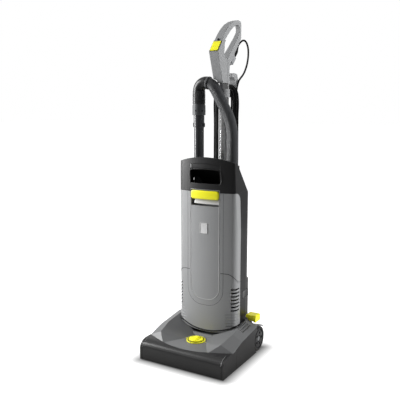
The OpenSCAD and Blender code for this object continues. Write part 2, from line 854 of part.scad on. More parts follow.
module top_cap() {
    color("#2a2a2b") difference() {
        union() {
            intersection() {
                skin(body_z0, cap_top);
                union() {
                    box(-200, 200, -200, 200, cap_z, cap_top + 60);
                    along_x(-200, 200) polygon(cap_corner(seam));
                }
            }
            // Panel under the slope, behind the window.
            intersection() {
                body_solid(wall - 0.5, body_z0, cap_top);
                box(-200, 200, 8, 62, cap_z + 1, cap_top);
                difference() {
                    above_slope(slope_panel + 1);
                    above_slope(1);
                }
            }
            // Deck under the hand space, with a sloping back edge.
            intersection() {
                body_solid(wall - 0.5, body_z0, cap_top);
                along_x(-200, 200) polygon([[-60, deck_z - 4], [-60, deck_z], [60, deck_z], [80, cap_z],
                    [62, cap_z], [48, deck_z - 4]]);
                box(-200, 200, -200, 200, cap_z, cap_top);
            }
        }
        above_slope(0);
        box(-door_hw - seam, door_hw + seam, -100, -10, cap_z - 5, door_z1 + seam);
        // Window for the hand.
        along_y(-100, -10) polygon(concat(
            [[-window_hw, window_z0], [window_hw, window_z0]],
            [for (i = [0:10]) let (x = window_hw - 2 * window_hw * i / 10)
                [x, window_z1 + window_rise * (1 - x * x / (window_hw * window_hw))]]));
        translate([wand_x, wand_y, cap_z - 10]) cylinder(r = wand_r + 1.5, h = 200);
        translate([inlet_x, wand_y, cap_z - 10]) cylinder(r = 27, h = 200);
        translate([0, tube_y, cap_z - 10]) cylinder(r = tube_r + 0.5, h = 200);
    }
}

// ---------- bag door ----------
module door_skin(grow) {
    intersection() {
        difference() {
            body_solid(0, body_z0, cap_top);
            body_solid(wall, body_z0 - 20, cap_top + 30);
        }
        along_y(-100, -10) polygon(door_view(grow));
        box(-200, 200, -200, 0, 0, door_z1);
    }
}

module bag_door() {
    tray_z0 = latch_z0 - recess_h;
    color("#8e8f90") difference() {
        union() {
            door_skin(0);
            // Tray behind the latch, for the fingers.
            intersection() {
                body_solid(wall - 0.5, body_z0 - 20, cap_top);
                box(-door_hw, door_hw, -body_front, -22, tray_z0 - 3, door_z1);
            }
            // Hooks at the lower edge.
            both_sides() box(10, 20, wall + 1.6 - body_front, wall + 5 - body_front, door_z0 - 6, door_z0 + 2.6);
            both_sides() box(10, 20, wall - 1 - body_front, wall + 5 - body_front, door_z0 + 0.3, door_z0 + 2.6);
        }
        box(-door_hw + 1.6, door_hw - 1.6, -body_front - 10, -25, tray_z0, door_z1 - 2);
    }
}

module door_seal() {
    color("#151515") intersection() {
        difference() {
            body_solid(wall + soft_gap, body_z0 - 20, cap_top);
            body_solid(wall + 3.2, body_z0 - 30, cap_top + 30);
        }
        along_y(-100, -10) difference() {
            polygon(door_view(-3));
            polygon(door_view(-7));
        }
        box(-200, 200, -200, 0, 0, latch_z0 - recess_h - 5);
    }
}

module door_latch() {
    x1 = door_hw - 2 - 6;
    z0 = latch_z0 + 6;
    z1 = door_z1 - 4 - 6;
    color("#e6de00") intersection() {
        difference() {
            body_solid(-2.5, body_z0, cap_top);
            body_solid(6, body_z0 - 20, cap_top + 30);
        }
        along_y(-100, -10) polygon(concat(arc(x1, z0, 6, -90, 0, 5), arc(x1, z1, 6, 0, 90, 5),
            arc(-x1, z1, 6, 90, 180, 5), arc(-x1, z0, 6, 180, 270, 5)));
    }
}

// ---------- inside the body ----------
module filter_bag() {
    color("#d9cfb8") intersection() {
        box(-46, 104, -20, 72, floor_z + 6, 556);
        along_z(floor_z, 600) polygon(concat(
            arc(84, 54, 18, 0, 90, 5), arc(-28, 56, 16, 90, 180, 5),
            arc(-30, -6, 14, 180, 270, 5), arc(88, -6, 14, 270, 360, 5)));
        along_y(-60, 100) polygon(concat(
            arc(80, 350, 22, -90, 0, 5), arc(74, 530, 26, 0, 90, 5),
            arc(-20, 530, 24, 90, 180, 5), arc(-24, 350, 20, 180, 270, 5)));
    }
}

module bag_collar() {
    color("#b79a63") translate([inlet_x, wand_y, 0]) difference() {
        union() {
            box(-38, 38, -30, 22, 562, 566);
            translate([0, 0, 556.3]) cylinder(r = 26, h = 6);
        }
        translate([0, 0, 550]) cylinder(r = 20 + 0.3, h = 30);
    }
}

module motor_filter() {
    color("#e4e4e0") translate([motor_x, fan_y, 0]) difference() {
        translate([0, 0, floor_z]) cylinder(r = 48, h = 5.6);
        for (i = [-4:4], k = [-4:4]) if (i * i + k * k < 18)
            box(i * 10 - 3, i * 10 + 3, k * 10 - 3, k * 10 + 3, floor_z + 3, floor_z + 10);
    }
}

module suction_motor() {
    color("#8f9396") difference() {
        union() {
            translate([motor_x, fan_y, motor_z0]) cylinder(r = 40, h = motor_z1 - motor_z0 - 40);
            translate([motor_x, fan_y, motor_z1 - 46]) cylinder(r = motor_r, h = 46);
            translate([motor_x, fan_y, motor_z1 - 1]) cylinder(r = 36, h = floor_z - floor_t - motor_z1 + 1);
            for (a = [45:90:315]) translate([motor_x, fan_y, body_z0 + 8]) rotate(a)
                translate([30, 0, 0]) cylinder(r = 6, h = motor_z0 - body_z0 - 7);
        }
        translate([motor_x, fan_y, motor_z1 - 42]) cylinder(r = motor_r - 3, h = 38);
        translate([motor_x, fan_y, motor_z1 - 10]) cylinder(r = 24, h = 80);
        translate([motor_x, fan_y, motor_z0 + 20]) cylinder(r = fan_shaft_r + run_gap, h = 100);
    }
}

module suction_fan() {
    color("#b4b7ba") translate([motor_x, fan_y, 0]) union() {
        translate([0, 0, motor_z0 + 24]) cylinder(r = fan_shaft_r, h = fan_z + 20 - motor_z0 - 24);
        translate([0, 0, fan_z]) cylinder(r = motor_r - 6, h = 2);
        difference() {
            translate([0, 0, fan_z]) cylinder(r = 10, h = 18);
            translate([0, 0, fan_z + 2]) cylinder(r = fan_shaft_r - eps, h = 40);
        }
        for (a = [0:45:315]) rotate(a) intersection() {
            translate([26, -18, fan_z + 1]) difference() {
                cylinder(r = 28, h = 15);
                translate([0, 0, -1]) cylinder(r = 26.4, h = 20);
            }
            box(11, motor_r - 7, -2, 22, fan_z + 1, fan_z + 16);
        }
    }
}

module exhaust_filter() {
    color("#dcdcd8") difference() {
        box(-64, 64, 94.7, 102.7, bulge_z0 + 24, bulge_z1 - 44);
        for (i = [-7:7]) box(i * 8 - 2.2, i * 8 + 2.2, 92, 98, bulge_z0 + 28, bulge_z1 - 48);
    }
}

module lower_duct() {
    color("#2f3033") translate([wand_x, wand_y, 0]) difference() {
        union() {
            translate([0, 0, 92]) cylinder(r = 19, h = wand_z0 - 92 - 4);
        }
        translate([0, 0, 80]) cylinder(r = 16, h = 400);
    }
}

module wand_socket() {
    color("#2c2d30") translate([wand_x, wand_y, 0]) difference() {
        union() {
            translate([0, 0, wand_z0 - 12]) cylinder(r = wand_r + 5, h = socket_h + 12);
            box(-30, 0, -6, 6, wand_z0 - 4, wand_z0 + 20);
        }
        translate([0, 0, wand_z0 - soft_gap]) cylinder(r = wand_r + soft_gap, h = socket_h + 10);
        translate([0, 0, wand_z0 - 20]) cylinder(r = 19, h = 16.1);
        translate([0, 0, wand_z0 - 20]) cylinder(r = 15.6, h = 40);
    }
}

module hose_inlet() {
    color("#2c2d30") translate([inlet_x, wand_y, 0]) difference() {
        union() {
            translate([0, 0, 562 + 4.3]) cylinder(r = 26, h = hose_end_z - 566.3 - 34);
            translate([0, 0, 556.4]) cylinder(r = 20, h = 26);
            translate([0, 0, hose_end_z - 36]) cylinder(r = 26, h = 36);
        }
        translate([0, 0, 540]) cylinder(r = 17, h = 300);
    }
}

// ---------- handle ----------
module handle_tube() {
    color("#cfd1d3") translate([0, tube_y, tube_z0]) difference() {
        cylinder(r = tube_r, h = tube_z1 - tube_z0);
        translate([0, 0, -1]) cylinder(r = tube_r - tube_t, h = tube_z1 - tube_z0 + 2);
    }
}

module tube_screws() {
    color("#c2c5c8") for (z = tube_screws_z) difference() {
        union() {
            rod_y(tube_y + tube_r + 0.1, spine_y + 1, 2.5, 0, z);
            rod_y(spine_y, spine_y + 2.4, 5, 0, z);
        }
        rod_y(spine_y + 1, spine_y + 3, 2.4, 0, z);
    }
}

// Side outline of the D-shaped handle. The lower bar's underside slopes at 45 degrees.
bar_y0 = 203 + 14 * sqrt(0.5) - (102 - 14 * sqrt(0.5));
function hung(p) = [for (q = p) [q[0], top_z - q[1]]];
handle_outer = concat(
    hung([[52, 234], [14, 127], [47, 88], [66, 65], [85, 46], [113, 25], [143, 11], [170, 3.5], [188, 0], [203, 1.5]]),
    arc(203, top_z - 14, 14, 60, 0, 4), [[217, top_z - 58]], arc(203, top_z - 58, 14, 0, -45, 3),
    hung([[bar_y0, 160], [115, 167], [115, 234]]));
handle_hole = hung([[62, 132], [66, 94], [78, 79], [93, 66], [120, 45], [146, 30], [168, 20], [186, 17], [197, 20],
    [201, 30], [200, 44], [184, 63], [148, 99], [119, 126], [84, 148], [70, 146]]);

module handle_body() {
    color("#a9aaab") difference() {
        union() {
            // Lower part, which holds the tube.
            intersection() {
                along_x(-handle_hw - 4, handle_hw + 4) polygon(handle_outer);
                along_z(handle_z0, top_z - 84) union() {
                    translate([-handle_hw, 0]) square([2 * handle_hw, tube_y - 2]);
                    translate([0, tube_y]) circle(r = 20.5);
                }
            }
            // The loop, which narrows to the back.
            intersection() {
                along_x(-handle_hw, handle_hw) polygon(handle_outer);
                along_z(top_z - 180, top_z + 5) polygon([[-16, 40], [16, 40], [14, 90], [10, 170], [7, 218],
                    [-7, 218], [-10, 170], [-14, 90]]);
            }
        }
        along_x(-handle_hw - 5, handle_hw + 5) polygon(handle_hole);
        // Lower edge, cut to clear the hose.
        along_y(0, 75) polygon([[-30, elbow_z], [-30, elbow_z + 48], [-18, elbow_z + 43], [24, elbow_z + 20],
            [24, elbow_z]]);
        translate([0, tube_y, handle_z0 - 1]) cylinder(r = tube_r, h = tube_z1 - handle_z0 + 1);
        button_frame() box(-button_hw - 0.6, button_hw + 0.6, -button_l / 2 - 0.6, button_l / 2 + 0.6, -7, 20);
    }
}

// Places its children on the sloping face that carries the switch.
module button_frame() {
    translate([0, button_y, button_z]) rotate([button_tilt, 0, 0]) children();
}

module switch_button() {
    color("#e6de00") button_frame() along_x(-button_hw, button_hw) polygon([
        [-button_l / 2, -3], [0, -6.4], [button_l / 2, -3], [button_l / 2, 2.4], [6, 3.4], [0, 1.6],
        [-6, 3.4], [-button_l / 2, 2.4]]);
}

// Places its children under the handle's lower bar, with +Z along the bar, up and back,
// and Y = 0 on the bar's underside.
module socket_frame() {
    translate([0, bar_y0, bar_z]) rotate([-45, 0, 0]) children();
}

module cord_socket() {
    color("#8d8e90") socket_frame() difference() {
        union() {
            box(-10, 10, 0.02, socket_w, 14, 48);
            translate([0, socket_w / 2, 8]) cylinder(r = 8, h = 8);
        }
        translate([0, socket_w / 2, 26]) cylinder(r = 6.4, h = 60);
    }
}

module cord_connector() {
    color("#161617") socket_frame() translate([0, socket_w / 2, 0]) union() {
        translate([0, 0, 30]) cylinder(r = 6.4, h = 20);
        translate([0, 0, 48.2]) cylinder(r = 10.2, h = 32);
        translate([0, 0, 80]) cylinder(r1 = 9.5, r2 = 4.6, h = connector_end - 80);
    }
}

module upper_hook() {
    color("#9d9ea0") difference() {
        union() {
            // Strap round the tube.
            translate([0, tube_y, hook_z - 20]) cylinder(r = tube_r + 3.5, h = 30);
            // Neck that carries the cord, shaped to the inside of its turns.
            along_y(tube_y + tube_r - 2, 166) intersection() {
                translate([hank_x, hank_top]) circle(r = hank_r - cord_d / 2 - 0.8);
                translate([-12, hook_z - 18]) square([24, 60]);
            }
            // Horn, turned back over the cord.
            along_x(-12, 12) polygon([[158, hook_z - 16], [174, hook_z - 14], [184, hook_z + 16],
                [184, hook_z + 48], [176, hook_z + 68], [150, hook_z + 70], [132, hook_z + 64],
                [132, hook_z + 54], [152, hook_z + 54], [158, hook_z + 44]]);
        }
        translate([0, tube_y, hook_z - 30]) cylinder(r = tube_r, h = 60);
    }
}

module lower_hook() {
    z = low_hook_z;
    color("#8d8e90") union() {
        rod_y(body_back - wall - 6, 160, hook_neck_r, 0, z);
        rod_y(body_back - wall - 9, body_back - wall - 4, 13, 0, z);
        along_y(158, 170) union() {
            translate([0, z]) circle(r = 13);
            polygon([[-13, z], [13, z], [10, z - 46], [-10, z - 46]]);
        }
    }
}

// ---------- pedal ----------
module release_pedal() {
    lug_x0 = ear_x0 + 6.5;
    lug_x1 = ear_x1 - 4.5;
    color("#ece400") difference() {
        union() {
            // Wedge whose underside follows the cover's outer slope.
            intersection() {
                along_y(49, 92) polygon([
                    [pedal_x0, pedal_top - 8], [pedal_x1, pedal_top - 24], [pedal_x1, pedal_top - 3],
                    [pedal_x1 - 3, pedal_top], [pedal_x0, pedal_top]]);
                along_x(pedal_x0 - 1, pedal_x1 + 1) polygon([
                    [49, 106], [92, 106], [92, pedal_top - 3], [89, pedal_top + 1], [55, pedal_top + 1], [49, pedal_top - 6]]);
            }
            // Lug on the pin.
            along_x(lug_x0, lug_x1) polygon([[52, 128], [52, 106], [56, 102], [62, 102], [66, 106], [66, 128]]);
        }
        rod_x(pedal_x0 - 10, pedal_x1 + 10, pedal_pin_r + run_gap, pedal_pin_y, pedal_pin_z);
    }
}

module pedal_pin() {
    color("#c2c5c8") rod_x(ear_x0 + 2.5, ear_x1 - 0.5, pedal_pin_r, pedal_pin_y, pedal_pin_z);
}

// ---------- wand ----------
module wand_tube() {
    color("#4a4b4d") translate([wand_x, wand_y, 0]) difference() {
        union() {
            translate([0, 0, wand_z0]) cylinder(r = wand_r, h = wand_z1 - collar_h - wand_z0);
            translate([0, 0, 826]) cylinder(r = wand_r + 1.5, h = wand_z1 - collar_h - 826);
        }
        translate([0, 0, wand_z0 - 1]) cylinder(r = wand_r - wand_t, h = 700);
    }
}

module wand_collar() {
    color("#47484b") translate([wand_x, wand_y, wand_z1 - collar_h]) difference() {
        union() {
            cylinder(r = elbow_r + 1.5, h = collar_h - 4);
            translate([0, 0, collar_h - 4]) cylinder(r = elbow_r, h = 4);
        }
        translate([0, 0, -1]) cylinder(r = 16, h = collar_h + 2);
        for (a = [-60, 60, 180]) rotate(a) box(elbow_r, elbow_r + 3, -4, 4, 12, 18);
    }
}

module wand_elbow() {
    color("#232325") translate([wand_x, wand_y, 0]) difference() {
        union() {
            translate([0, 0, wand_z1]) cylinder(r = elbow_r, h = elbow_z - wand_z1);
            for (k = [0:5]) translate([0, 0, wand_z1 + 4 + k * 6]) cylinder(r = elbow_r + 1, h = 3);
            elbow_arc(elbow_r - 0.5, 3, 0);
        }
        translate([0, 0, wand_z1 - 1]) cylinder(r = 16, h = elbow_z - wand_z1 + 0.9);
        elbow_arc(15.5, 3, 3);
    }
}

// Bend from straight up to past level, towards +X, run on by some degrees at both ends.
module elbow_arc(r, before, after) {
    translate([elbow_bend, 0, elbow_z]) rotate([90, 0, 0]) rotate([0, 0, 180 - elbow_turn - after])
        rotate_extrude(angle = elbow_turn + before + after) translate([elbow_bend, 0]) circle(r = r);
}

module wand_clips() {
    color("#2a2a2c") translate([wand_x, wand_y, 0]) both_sides() difference() {
        box(wand_r + 1.5, wand_r + 4.5, -5, 5, 828, 842);
        rod_x(wand_r + 3, wand_r + 6, 2.4, 0, 836);
    }
}

// ---------- swept tubes ----------
function unit(v) = v / norm(v);
function tangents(p) = [for (i = [0:len(p) - 1])
    unit(p[min(i + 1, len(p) - 1)] - p[max(i - 1, 0)])];
// Rings of n points round a route that stays square to the side direction s.
function rings(p, r, n, s) = let (t = tangents(p)) [for (i = [0:len(p) - 1], k = [0:n - 1])
    let (u = unit(s - (s * t[i]) * t[i]), v = cross(t[i], u), a = 360 * k / n)
    p[i] + r * cos(a) * u + r * sin(a) * v];

module sweep(p, r, n, s) {
    m = len(p);
    sides = [for (i = [0:m - 2], k = [0:n - 1]) each [
        [i * n + k, i * n + (k + 1) % n, (i + 1) * n + (k + 1) % n],
        [i * n + k, (i + 1) * n + (k + 1) % n, (i + 1) * n + k]]];
    caps = concat([for (k = [1:n - 2]) [0, k + 1, k]],
        [for (k = [1:n - 2]) [(m - 1) * n, (m - 1) * n + k, (m - 1) * n + k + 1]]);
    polyhedron(points = rings(p, r, n, s), faces = [for (f = concat(sides, caps)) [f[2], f[1], f[0]]]);
}

// Where the elbow ends, where the cuff ends and where the hose's straight part ends.
function on_bend(cx, cz, r, a) = [cx + r * sin(a), wand_y, cz + r * cos(a)];
elbow_end_a = elbow_turn - 90;
cuff_end_a = elbow_end_a + cuff_turn;
elbow_end = on_bend(wand_x + elbow_bend, elbow_z, elbow_bend, elbow_end_a);
cuff_c = elbow_end - cuff_bend * [sin(elbow_end_a), 0, cos(elbow_end_a)];
cuff_end = on_bend(cuff_c[0], cuff_c[2], cuff_bend, cuff_end_a);
run_end = cuff_end + hose_run * [cos(cuff_end_a), 0, -sin(cuff_end_a)];
hose_c = run_end - hose_bend * [sin(cuff_end_a), 0, cos(cuff_end_a)];
hose_route = concat([cuff_end, (cuff_end + run_end) / 2],
    [for (i = [0:6]) on_bend(hose_c[0], hose_c[2], hose_bend, cuff_end_a + (90 - cuff_end_a) * i / 6)],
    [[inlet_x, wand_y, 745], [inlet_x, wand_y, hose_end_z + soft_gap]]);

module hose_cuff() {
    color("#37383b") difference() {
        union() {
            cuff_arc(hose_r + 0.5, 0, 0);
            translate(elbow_end) rotate([0, elbow_turn, 0]) cylinder(r = elbow_r + 1, h = 5);
        }
        cuff_arc(16, 4, 4);
    }
}

module cuff_arc(r, before, after) {
    translate(cuff_c) rotate([90, 0, 0]) rotate([0, 0, 90 - cuff_end_a - after])
        rotate_extrude(angle = cuff_turn + before + after) translate([cuff_bend, 0]) circle(r = r);
}

module hose() {
    color("#37383b") sweep(hose_route, hose_r, 12, [0, 1, 0]);
}

foot_hose_route = [[wand_x, 6, 36], [wand_x, 13, 36.6], [wand_x, 25, 40], [wand_x, 36, 49], [wand_x, 44.5, 61],
    [wand_x, 48.8, 73], [wand_x, wand_y, 83], [wand_x, wand_y, 91.7]];

module foot_hose() {
    color("#26272a") sweep(foot_hose_route, 18, 12, [1, 0, 0]);
}

// Hank: each turn is a long loop over both hooks. The turns of a layer spiral out, those of the
// next spiral in, and the cord climbs to the next layer on the run where the spiral reverses.
rings_per_loop = 24;
loops = hank_layers * hank_turns;
function hank_radius(t) = let (l = floor(t / hank_turns), f = t / hank_turns - l)
    hank_r + hank_pitch * hank_turns * (l % 2 == 0 ? f : 1 - f);
// One turn: up half the right run, over the top, down the left run, round the bottom and up again.
function hank_point(i) =
    let (t = min(i / rings_per_loop, loops - 0.0001), k = i % rings_per_loop, r = hank_radius(t),
        mid = (hank_top + hank_low) / 2, run = (hank_top - hank_low) / 2,
        y = hank_y + hank_pitch * floor(t / hank_turns),
        xz = k < 3 ? [r, mid + run * k / 3]
            : k <= 10 ? let (a = 180 * (k - 3) / 7) [r * cos(a), hank_top + r * sin(a)]
            : k < 15 ? [-r, hank_top - 2 * run * (k - 10) / 5]
            : k <= 22 ? let (a = 180 * (k - 15) / 7) [-r * cos(a), hank_low - r * sin(a)]
            : [r, hank_low + run * (k - 22) / 2])
    [hank_x + xz[0], y, xz[1]];
// From the plug, which hangs inside the turns, up to where the first turn begins.
tail_route = [[plug_x, plug_y, plug_top], [plug_x, plug_y, plug_top + 8], [plug_x + 1, plug_y - 0.6, plug_top + 26],
    [plug_x + 6, plug_y - 4, plug_top + 50], [plug_x + 14, plug_y - 9.4, plug_top + 74],
    [plug_x + 21, plug_y - 12.4, plug_top + 98]];
hank_route = concat(tail_route, [for (i = [0:loops * rings_per_loop]) hank_point(i)]);
hank_end = hank_route[len(hank_route) - 1];

module cord_hank() {
    color("#141415") sweep(hank_route, cord_d / 2, 6, [0, 1, 0]);
}

// Lead from the connector under the handle, in an open loop, down to the end of the hank.
lead_start = [0, bar_y0 + sqrt(0.5) * (socket_w / 2 + connector_end),
    bar_z + sqrt(0.5) * (connector_end - socket_w / 2)];
// Heights below the handle's top, and shares of the way from the hank's middle up to the hook.
lead_loop = [[1.5, 221, 77.5], [4, 233, 70], [6, 246, 68], [8, 258, 73], [9, 267.5, 83.5], [10, 273, 99],
    [10.6, 273, 117], [11.4, 268.5, 136], [12.4, 260, 154], [13.6, 247, 172], [15, 231, 188], [16.4, 213, 201],
    [17.4, 195, 211], [18.2, 179, 222], [18.4, 167, 239], [18.2, 160, 260]];
lead_down = [[17.8, 157, 0.925], [17, 156, 0.792], [16.4, 155, 0.566], [15.4, 152, 0.302], [15.1, 149.2, 0.128]];
lead_route = concat([lead_start, lead_start + [0, 6, 6]],
    [for (p = lead_loop) [p[0], p[1], top_z - p[2]]],
    [for (p = lead_down) [p[0], p[1], hank_end[2] + (hook_z - hank_end[2]) * p[2]]],
    [hank_end + [0, 0, 10], hank_end]);

module cord_lead() {
    color("#141415") sweep(lead_route, cord_d / 2, 8, [1, 0, 0]);
}

module mains_plug() {
    color("#161617") translate([plug_x, plug_y, plug_top]) union() {
        translate([0, 0, -14]) cylinder(r1 = 8, r2 = 4.4, h = 14);
        intersection() {
            translate([0, 0, -46]) cylinder(r = 17, h = 34);
            box(-17, 17, -11, 11, -46, -12);
        }
        color("#c9b26a") both_sides() box(5.6, 7.2, -3.2, 3.2, -62, -44);
        color("#c9b26a") translate([0, -6.5, -64]) cylinder(r = 2.4, h = 20);
    }
}

function span(p) = [for (i = [1:len(p) - 1]) norm(p[i] - p[i - 1])];
function sum(v, i = 0) = i >= len(v) ? 0 : v[i] + sum(v, i + 1);
echo(hose_mm = sum(span(hose_route)), lead_mm = sum(span(lead_route)), hank_mm = sum(span(hank_route)));

front_hood();
rear_base();
nozzle_cover();
sole_plate();
dial_ring();
height_knob();
roller_carriage();
roller_left();
roller_right();
brush_core();
brush_bristles();
brush_pulley();
brush_bearings();
brush_motor();
motor_pulley();
drive_belt();
foot_duct();
foot_hose();
wheel_tyre_left();
wheel_hub_left();
wheel_tyre_right();
wheel_hub_right();
wheel_axles();
pivot_pins();
sole_screws();
rear_housing();
front_shell();
motor_cover();
top_cap();
bag_door();
door_seal();
door_latch();
filter_bag();
bag_collar();
motor_filter();
suction_motor();
suction_fan();
exhaust_filter();
lower_duct();
wand_socket();
hose_inlet();
handle_tube();
tube_screws();
handle_body();
switch_button();
cord_socket();
upper_hook();
lower_hook();
release_pedal();
pedal_pin();
wand_tube();
wand_collar();
wand_elbow();
wand_clips();
hose_cuff();
hose();
cord_lead();
cord_hank();
cord_connector();
mains_plug();
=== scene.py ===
import math

import bpy
from mathutils import Matrix, Vector


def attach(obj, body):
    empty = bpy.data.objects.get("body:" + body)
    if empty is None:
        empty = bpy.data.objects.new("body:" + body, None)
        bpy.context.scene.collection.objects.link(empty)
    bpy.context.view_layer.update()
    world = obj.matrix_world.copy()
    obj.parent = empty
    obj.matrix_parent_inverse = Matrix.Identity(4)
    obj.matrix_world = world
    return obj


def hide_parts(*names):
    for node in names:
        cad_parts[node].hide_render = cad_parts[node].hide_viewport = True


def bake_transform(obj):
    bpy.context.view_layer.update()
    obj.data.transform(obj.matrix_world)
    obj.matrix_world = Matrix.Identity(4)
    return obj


# %% [markdown]
# # An upright vacuum cleaner, dressed
# The machine's rigid parts come ready made from the construction, as one closed mesh for each part. This
# lesson gives them their finishes, and models what a construction leaves plain: the hose, the mains cord in its
# hank, the paper bag, the bristles, ribs, rims, plates and a screw. Everything is in metres, +X is the
# machine's right, +Y its back and +Z up.

# %% Load the frame and keep its box
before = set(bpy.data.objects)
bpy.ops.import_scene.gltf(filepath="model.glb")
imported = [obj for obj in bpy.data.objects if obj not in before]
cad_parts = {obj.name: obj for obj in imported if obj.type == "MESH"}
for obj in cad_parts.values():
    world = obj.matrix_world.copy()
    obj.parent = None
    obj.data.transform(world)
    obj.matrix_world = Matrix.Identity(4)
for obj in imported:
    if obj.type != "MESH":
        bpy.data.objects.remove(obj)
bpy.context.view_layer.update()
MM = 0.001
print("parts in the frame:", len(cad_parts))

# %% [markdown]
# ## The camera
# The camera stands ahead of the machine and to its right, at about waist height, and looks a little down.
# The cords' points were measured against what it sees. A lens of about 52 mm keeps the machine's sides
# nearly parallel.

# %% Place the camera
CAMERA_PLACE = (1.0086, -1.7982, 0.8933)
CAMERA_TURN = 30.4
CAMERA_DOWN = 9.0
CAMERA_LENS = 51.72

bpy.ops.object.camera_add(
    location=CAMERA_PLACE,
    rotation=(math.radians(90 - CAMERA_DOWN), 0, math.radians(CAMERA_TURN)),
)
camera = bpy.context.object
camera.name = "camera"
camera.data.lens = CAMERA_LENS
camera.data.sensor_width = 36
camera.data.clip_end = 60
bpy.context.scene.camera = camera
print("camera at", [round(c, 3) for c in camera.location])

# %% [markdown]
# ## Helpers for modelling
# Most new pieces start as a primitive that is added at its place, and are then shaped in edit mode. These
# helpers deselect what was selected, pick faces or edges by where they are or where they look, and run an
# operator on them. They keep the later cells short.


# %% Start a piece and pick parts of it
def deselect():
    if bpy.context.object and bpy.context.object.mode != "OBJECT":
        bpy.ops.object.mode_set(mode="OBJECT")
    bpy.ops.object.select_all(action="DESELECT")


def make_active(piece):
    deselect()
    piece.select_set(True)
    bpy.context.view_layer.objects.active = piece


def started(name):
    """Names the primitive just added and puts its place into its mesh."""
    piece = bpy.context.object
    piece.name = name
    piece.data.name = name
    bpy.ops.object.transform_apply(location=True, rotation=True, scale=True)
    return piece


def block(name, low, high):
    deselect()
    middle = [(a + b) / 2 * MM for a, b in zip(low, high)]
    bpy.ops.mesh.primitive_cube_add(size=1, location=middle)
    bpy.context.object.scale = [(b - a) * MM for a, b in zip(low, high)]
    return started(name)


def round_bar(name, radius, start, end, sides, end_radius=None):
    """A cylinder or cone from start to end, in millimetres."""
    deselect()
    a, b = Vector(start) * MM, Vector(end) * MM
    turn = (b - a).to_track_quat("Z", "Y").to_euler()
    if end_radius is None:
        bpy.ops.mesh.primitive_cylinder_add(vertices=sides, radius=radius * MM, depth=(b - a).length,
                                            location=(a + b) / 2, rotation=turn)
    else:
        bpy.ops.mesh.primitive_cone_add(vertices=sides, radius1=radius * MM, radius2=end_radius * MM,
                                        depth=(b - a).length, location=(a + b) / 2, rotation=turn)
    return started(name)


def edit(piece):
    make_active(piece)
    bpy.ops.object.mode_set(mode="EDIT")


def clear_picks(piece, by_face):
    deselect()
    bpy.context.tool_settings.mesh_select_mode = (False, not by_face, by_face)
    for kind in (piece.data.vertices, piece.data.edges, piece.data.polygons):
        for item in kind:
            item.select = False


def pick_faces(piece, wanted):
    """Selects the faces for which wanted(centre in mm, normal) is true, and stays in edit mode."""
    clear_picks(piece, True)
    for face in piece.data.polygons:
        face.select = bool(wanted(face.center / MM, face.normal))
    edit(piece)


def pick_edges(piece, wanted):
    """Selects the edges for which wanted(one end in mm, other end in mm) is true, and stays in edit mode."""
    clear_picks(piece, False)
    for edge in piece.data.edges:
        a, b = (piece.data.vertices[i].co / MM for i in edge.vertices)
        edge.select = bool(wanted(a, b))
    edit(piece)


def cut_across(piece, place, normal):
    """Cuts every face of the piece along a plane. The place is in millimetres."""
    pick_faces(piece, lambda centre, facing: True)
    bpy.ops.mesh.bisect(plane_co=Vector(place) * MM, plane_no=normal)


def push_out(height):
    """Extrudes the picked faces along their normals, by a height in millimetres."""
    bpy.ops.mesh.extrude_region_shrink_fatten(TRANSFORM_OT_shrink_fatten={"value": height * MM})


def sink(piece, wanted, rim, depth):
    """Leaves a rim round the wanted faces and pushes what is inside it in by a depth, both in millimetres."""
    pick_faces(piece, wanted)
    bpy.ops.mesh.inset(thickness=rim * MM, depth=0)
    push_out(-depth)


def bevel_all(piece, width, segments, sharper_than=30):
    """Rounds every edge sharper than an angle, with a modifier that is then applied."""
    make_active(piece)
    rounding = piece.modifiers.new("rounding", "BEVEL")
    rounding.width = width * MM
    rounding.segments = segments
    rounding.limit_method = "ANGLE"
    rounding.angle_limit = math.radians(sharper_than)
    bpy.ops.object.modifier_apply(modifier=rounding.name)


def finish_piece(piece, finish, body, smooth=40):
    """Smooths the piece, gives it its material and lets it move with a body."""
    make_active(piece)
    bpy.ops.object.shade_smooth_by_angle(angle=math.radians(smooth))
    piece.data.materials.clear()
    piece.data.materials.append(finish)
    if body:
        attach(piece, body)
    return piece


def copy_of(piece, name, move, turn=None):
    """A copy with its own mesh, turned about the origin and then moved, in millimetres."""
    twin = piece.copy()
    twin.data = piece.data.copy()
    twin.name = name
    twin.data.name = name
    bpy.context.scene.collection.objects.link(twin)
    shift = Matrix.Translation(Vector(move) * MM)
    if turn is not None:
        shift = shift @ turn.to_4x4()
    twin.data.transform(shift)
    return twin


def carried(piece, name, move, turn):
    """Puts a turned and moved copy in the place of the piece."""
    twin = copy_of(piece, name, move, turn)
    bpy.data.objects.remove(piece)
    return twin


def join(pieces, name):
    deselect()
    for piece in pieces:
        piece.select_set(True)
    bpy.context.view_layer.objects.active = pieces[0]
    bpy.ops.object.join()
    pieces[0].name = name
    pieces[0].data.name = name
    return pieces[0]


print("helpers ready")

# %% [markdown]
# ## Shader groups
# Moulded plastic isn't one flat colour. It has a fine grain from the tool, a slow change of tone, a dull pale
# line where hands and walls rub its edges, and dust low down. One group holds these four patterns, and many
# finishes use it with their own values. It puts out a colour and two values, and the shader stays in the
# material.


# %% Open a group and wire it
def new_group(name, inputs, outputs):
    group = bpy.data.node_groups.new(name, "ShaderNodeTree")
    for label, kind, value in inputs:
        socket = group.interface.new_socket(label, in_out="INPUT", socket_type=kind)
        socket.default_value = value
    for label, kind in outputs:
        group.interface.new_socket(label, in_out="OUTPUT", socket_type=kind)
    return group, group.nodes.new("NodeGroupInput"), group.nodes.new("NodeGroupOutput")


def put(tree, value, socket):
    """Sets a socket to a plain value, or links it to another socket."""
    if isinstance(value, (int, float, tuple)):
        socket.default_value = value
    else:
        tree.links.new(value, socket)


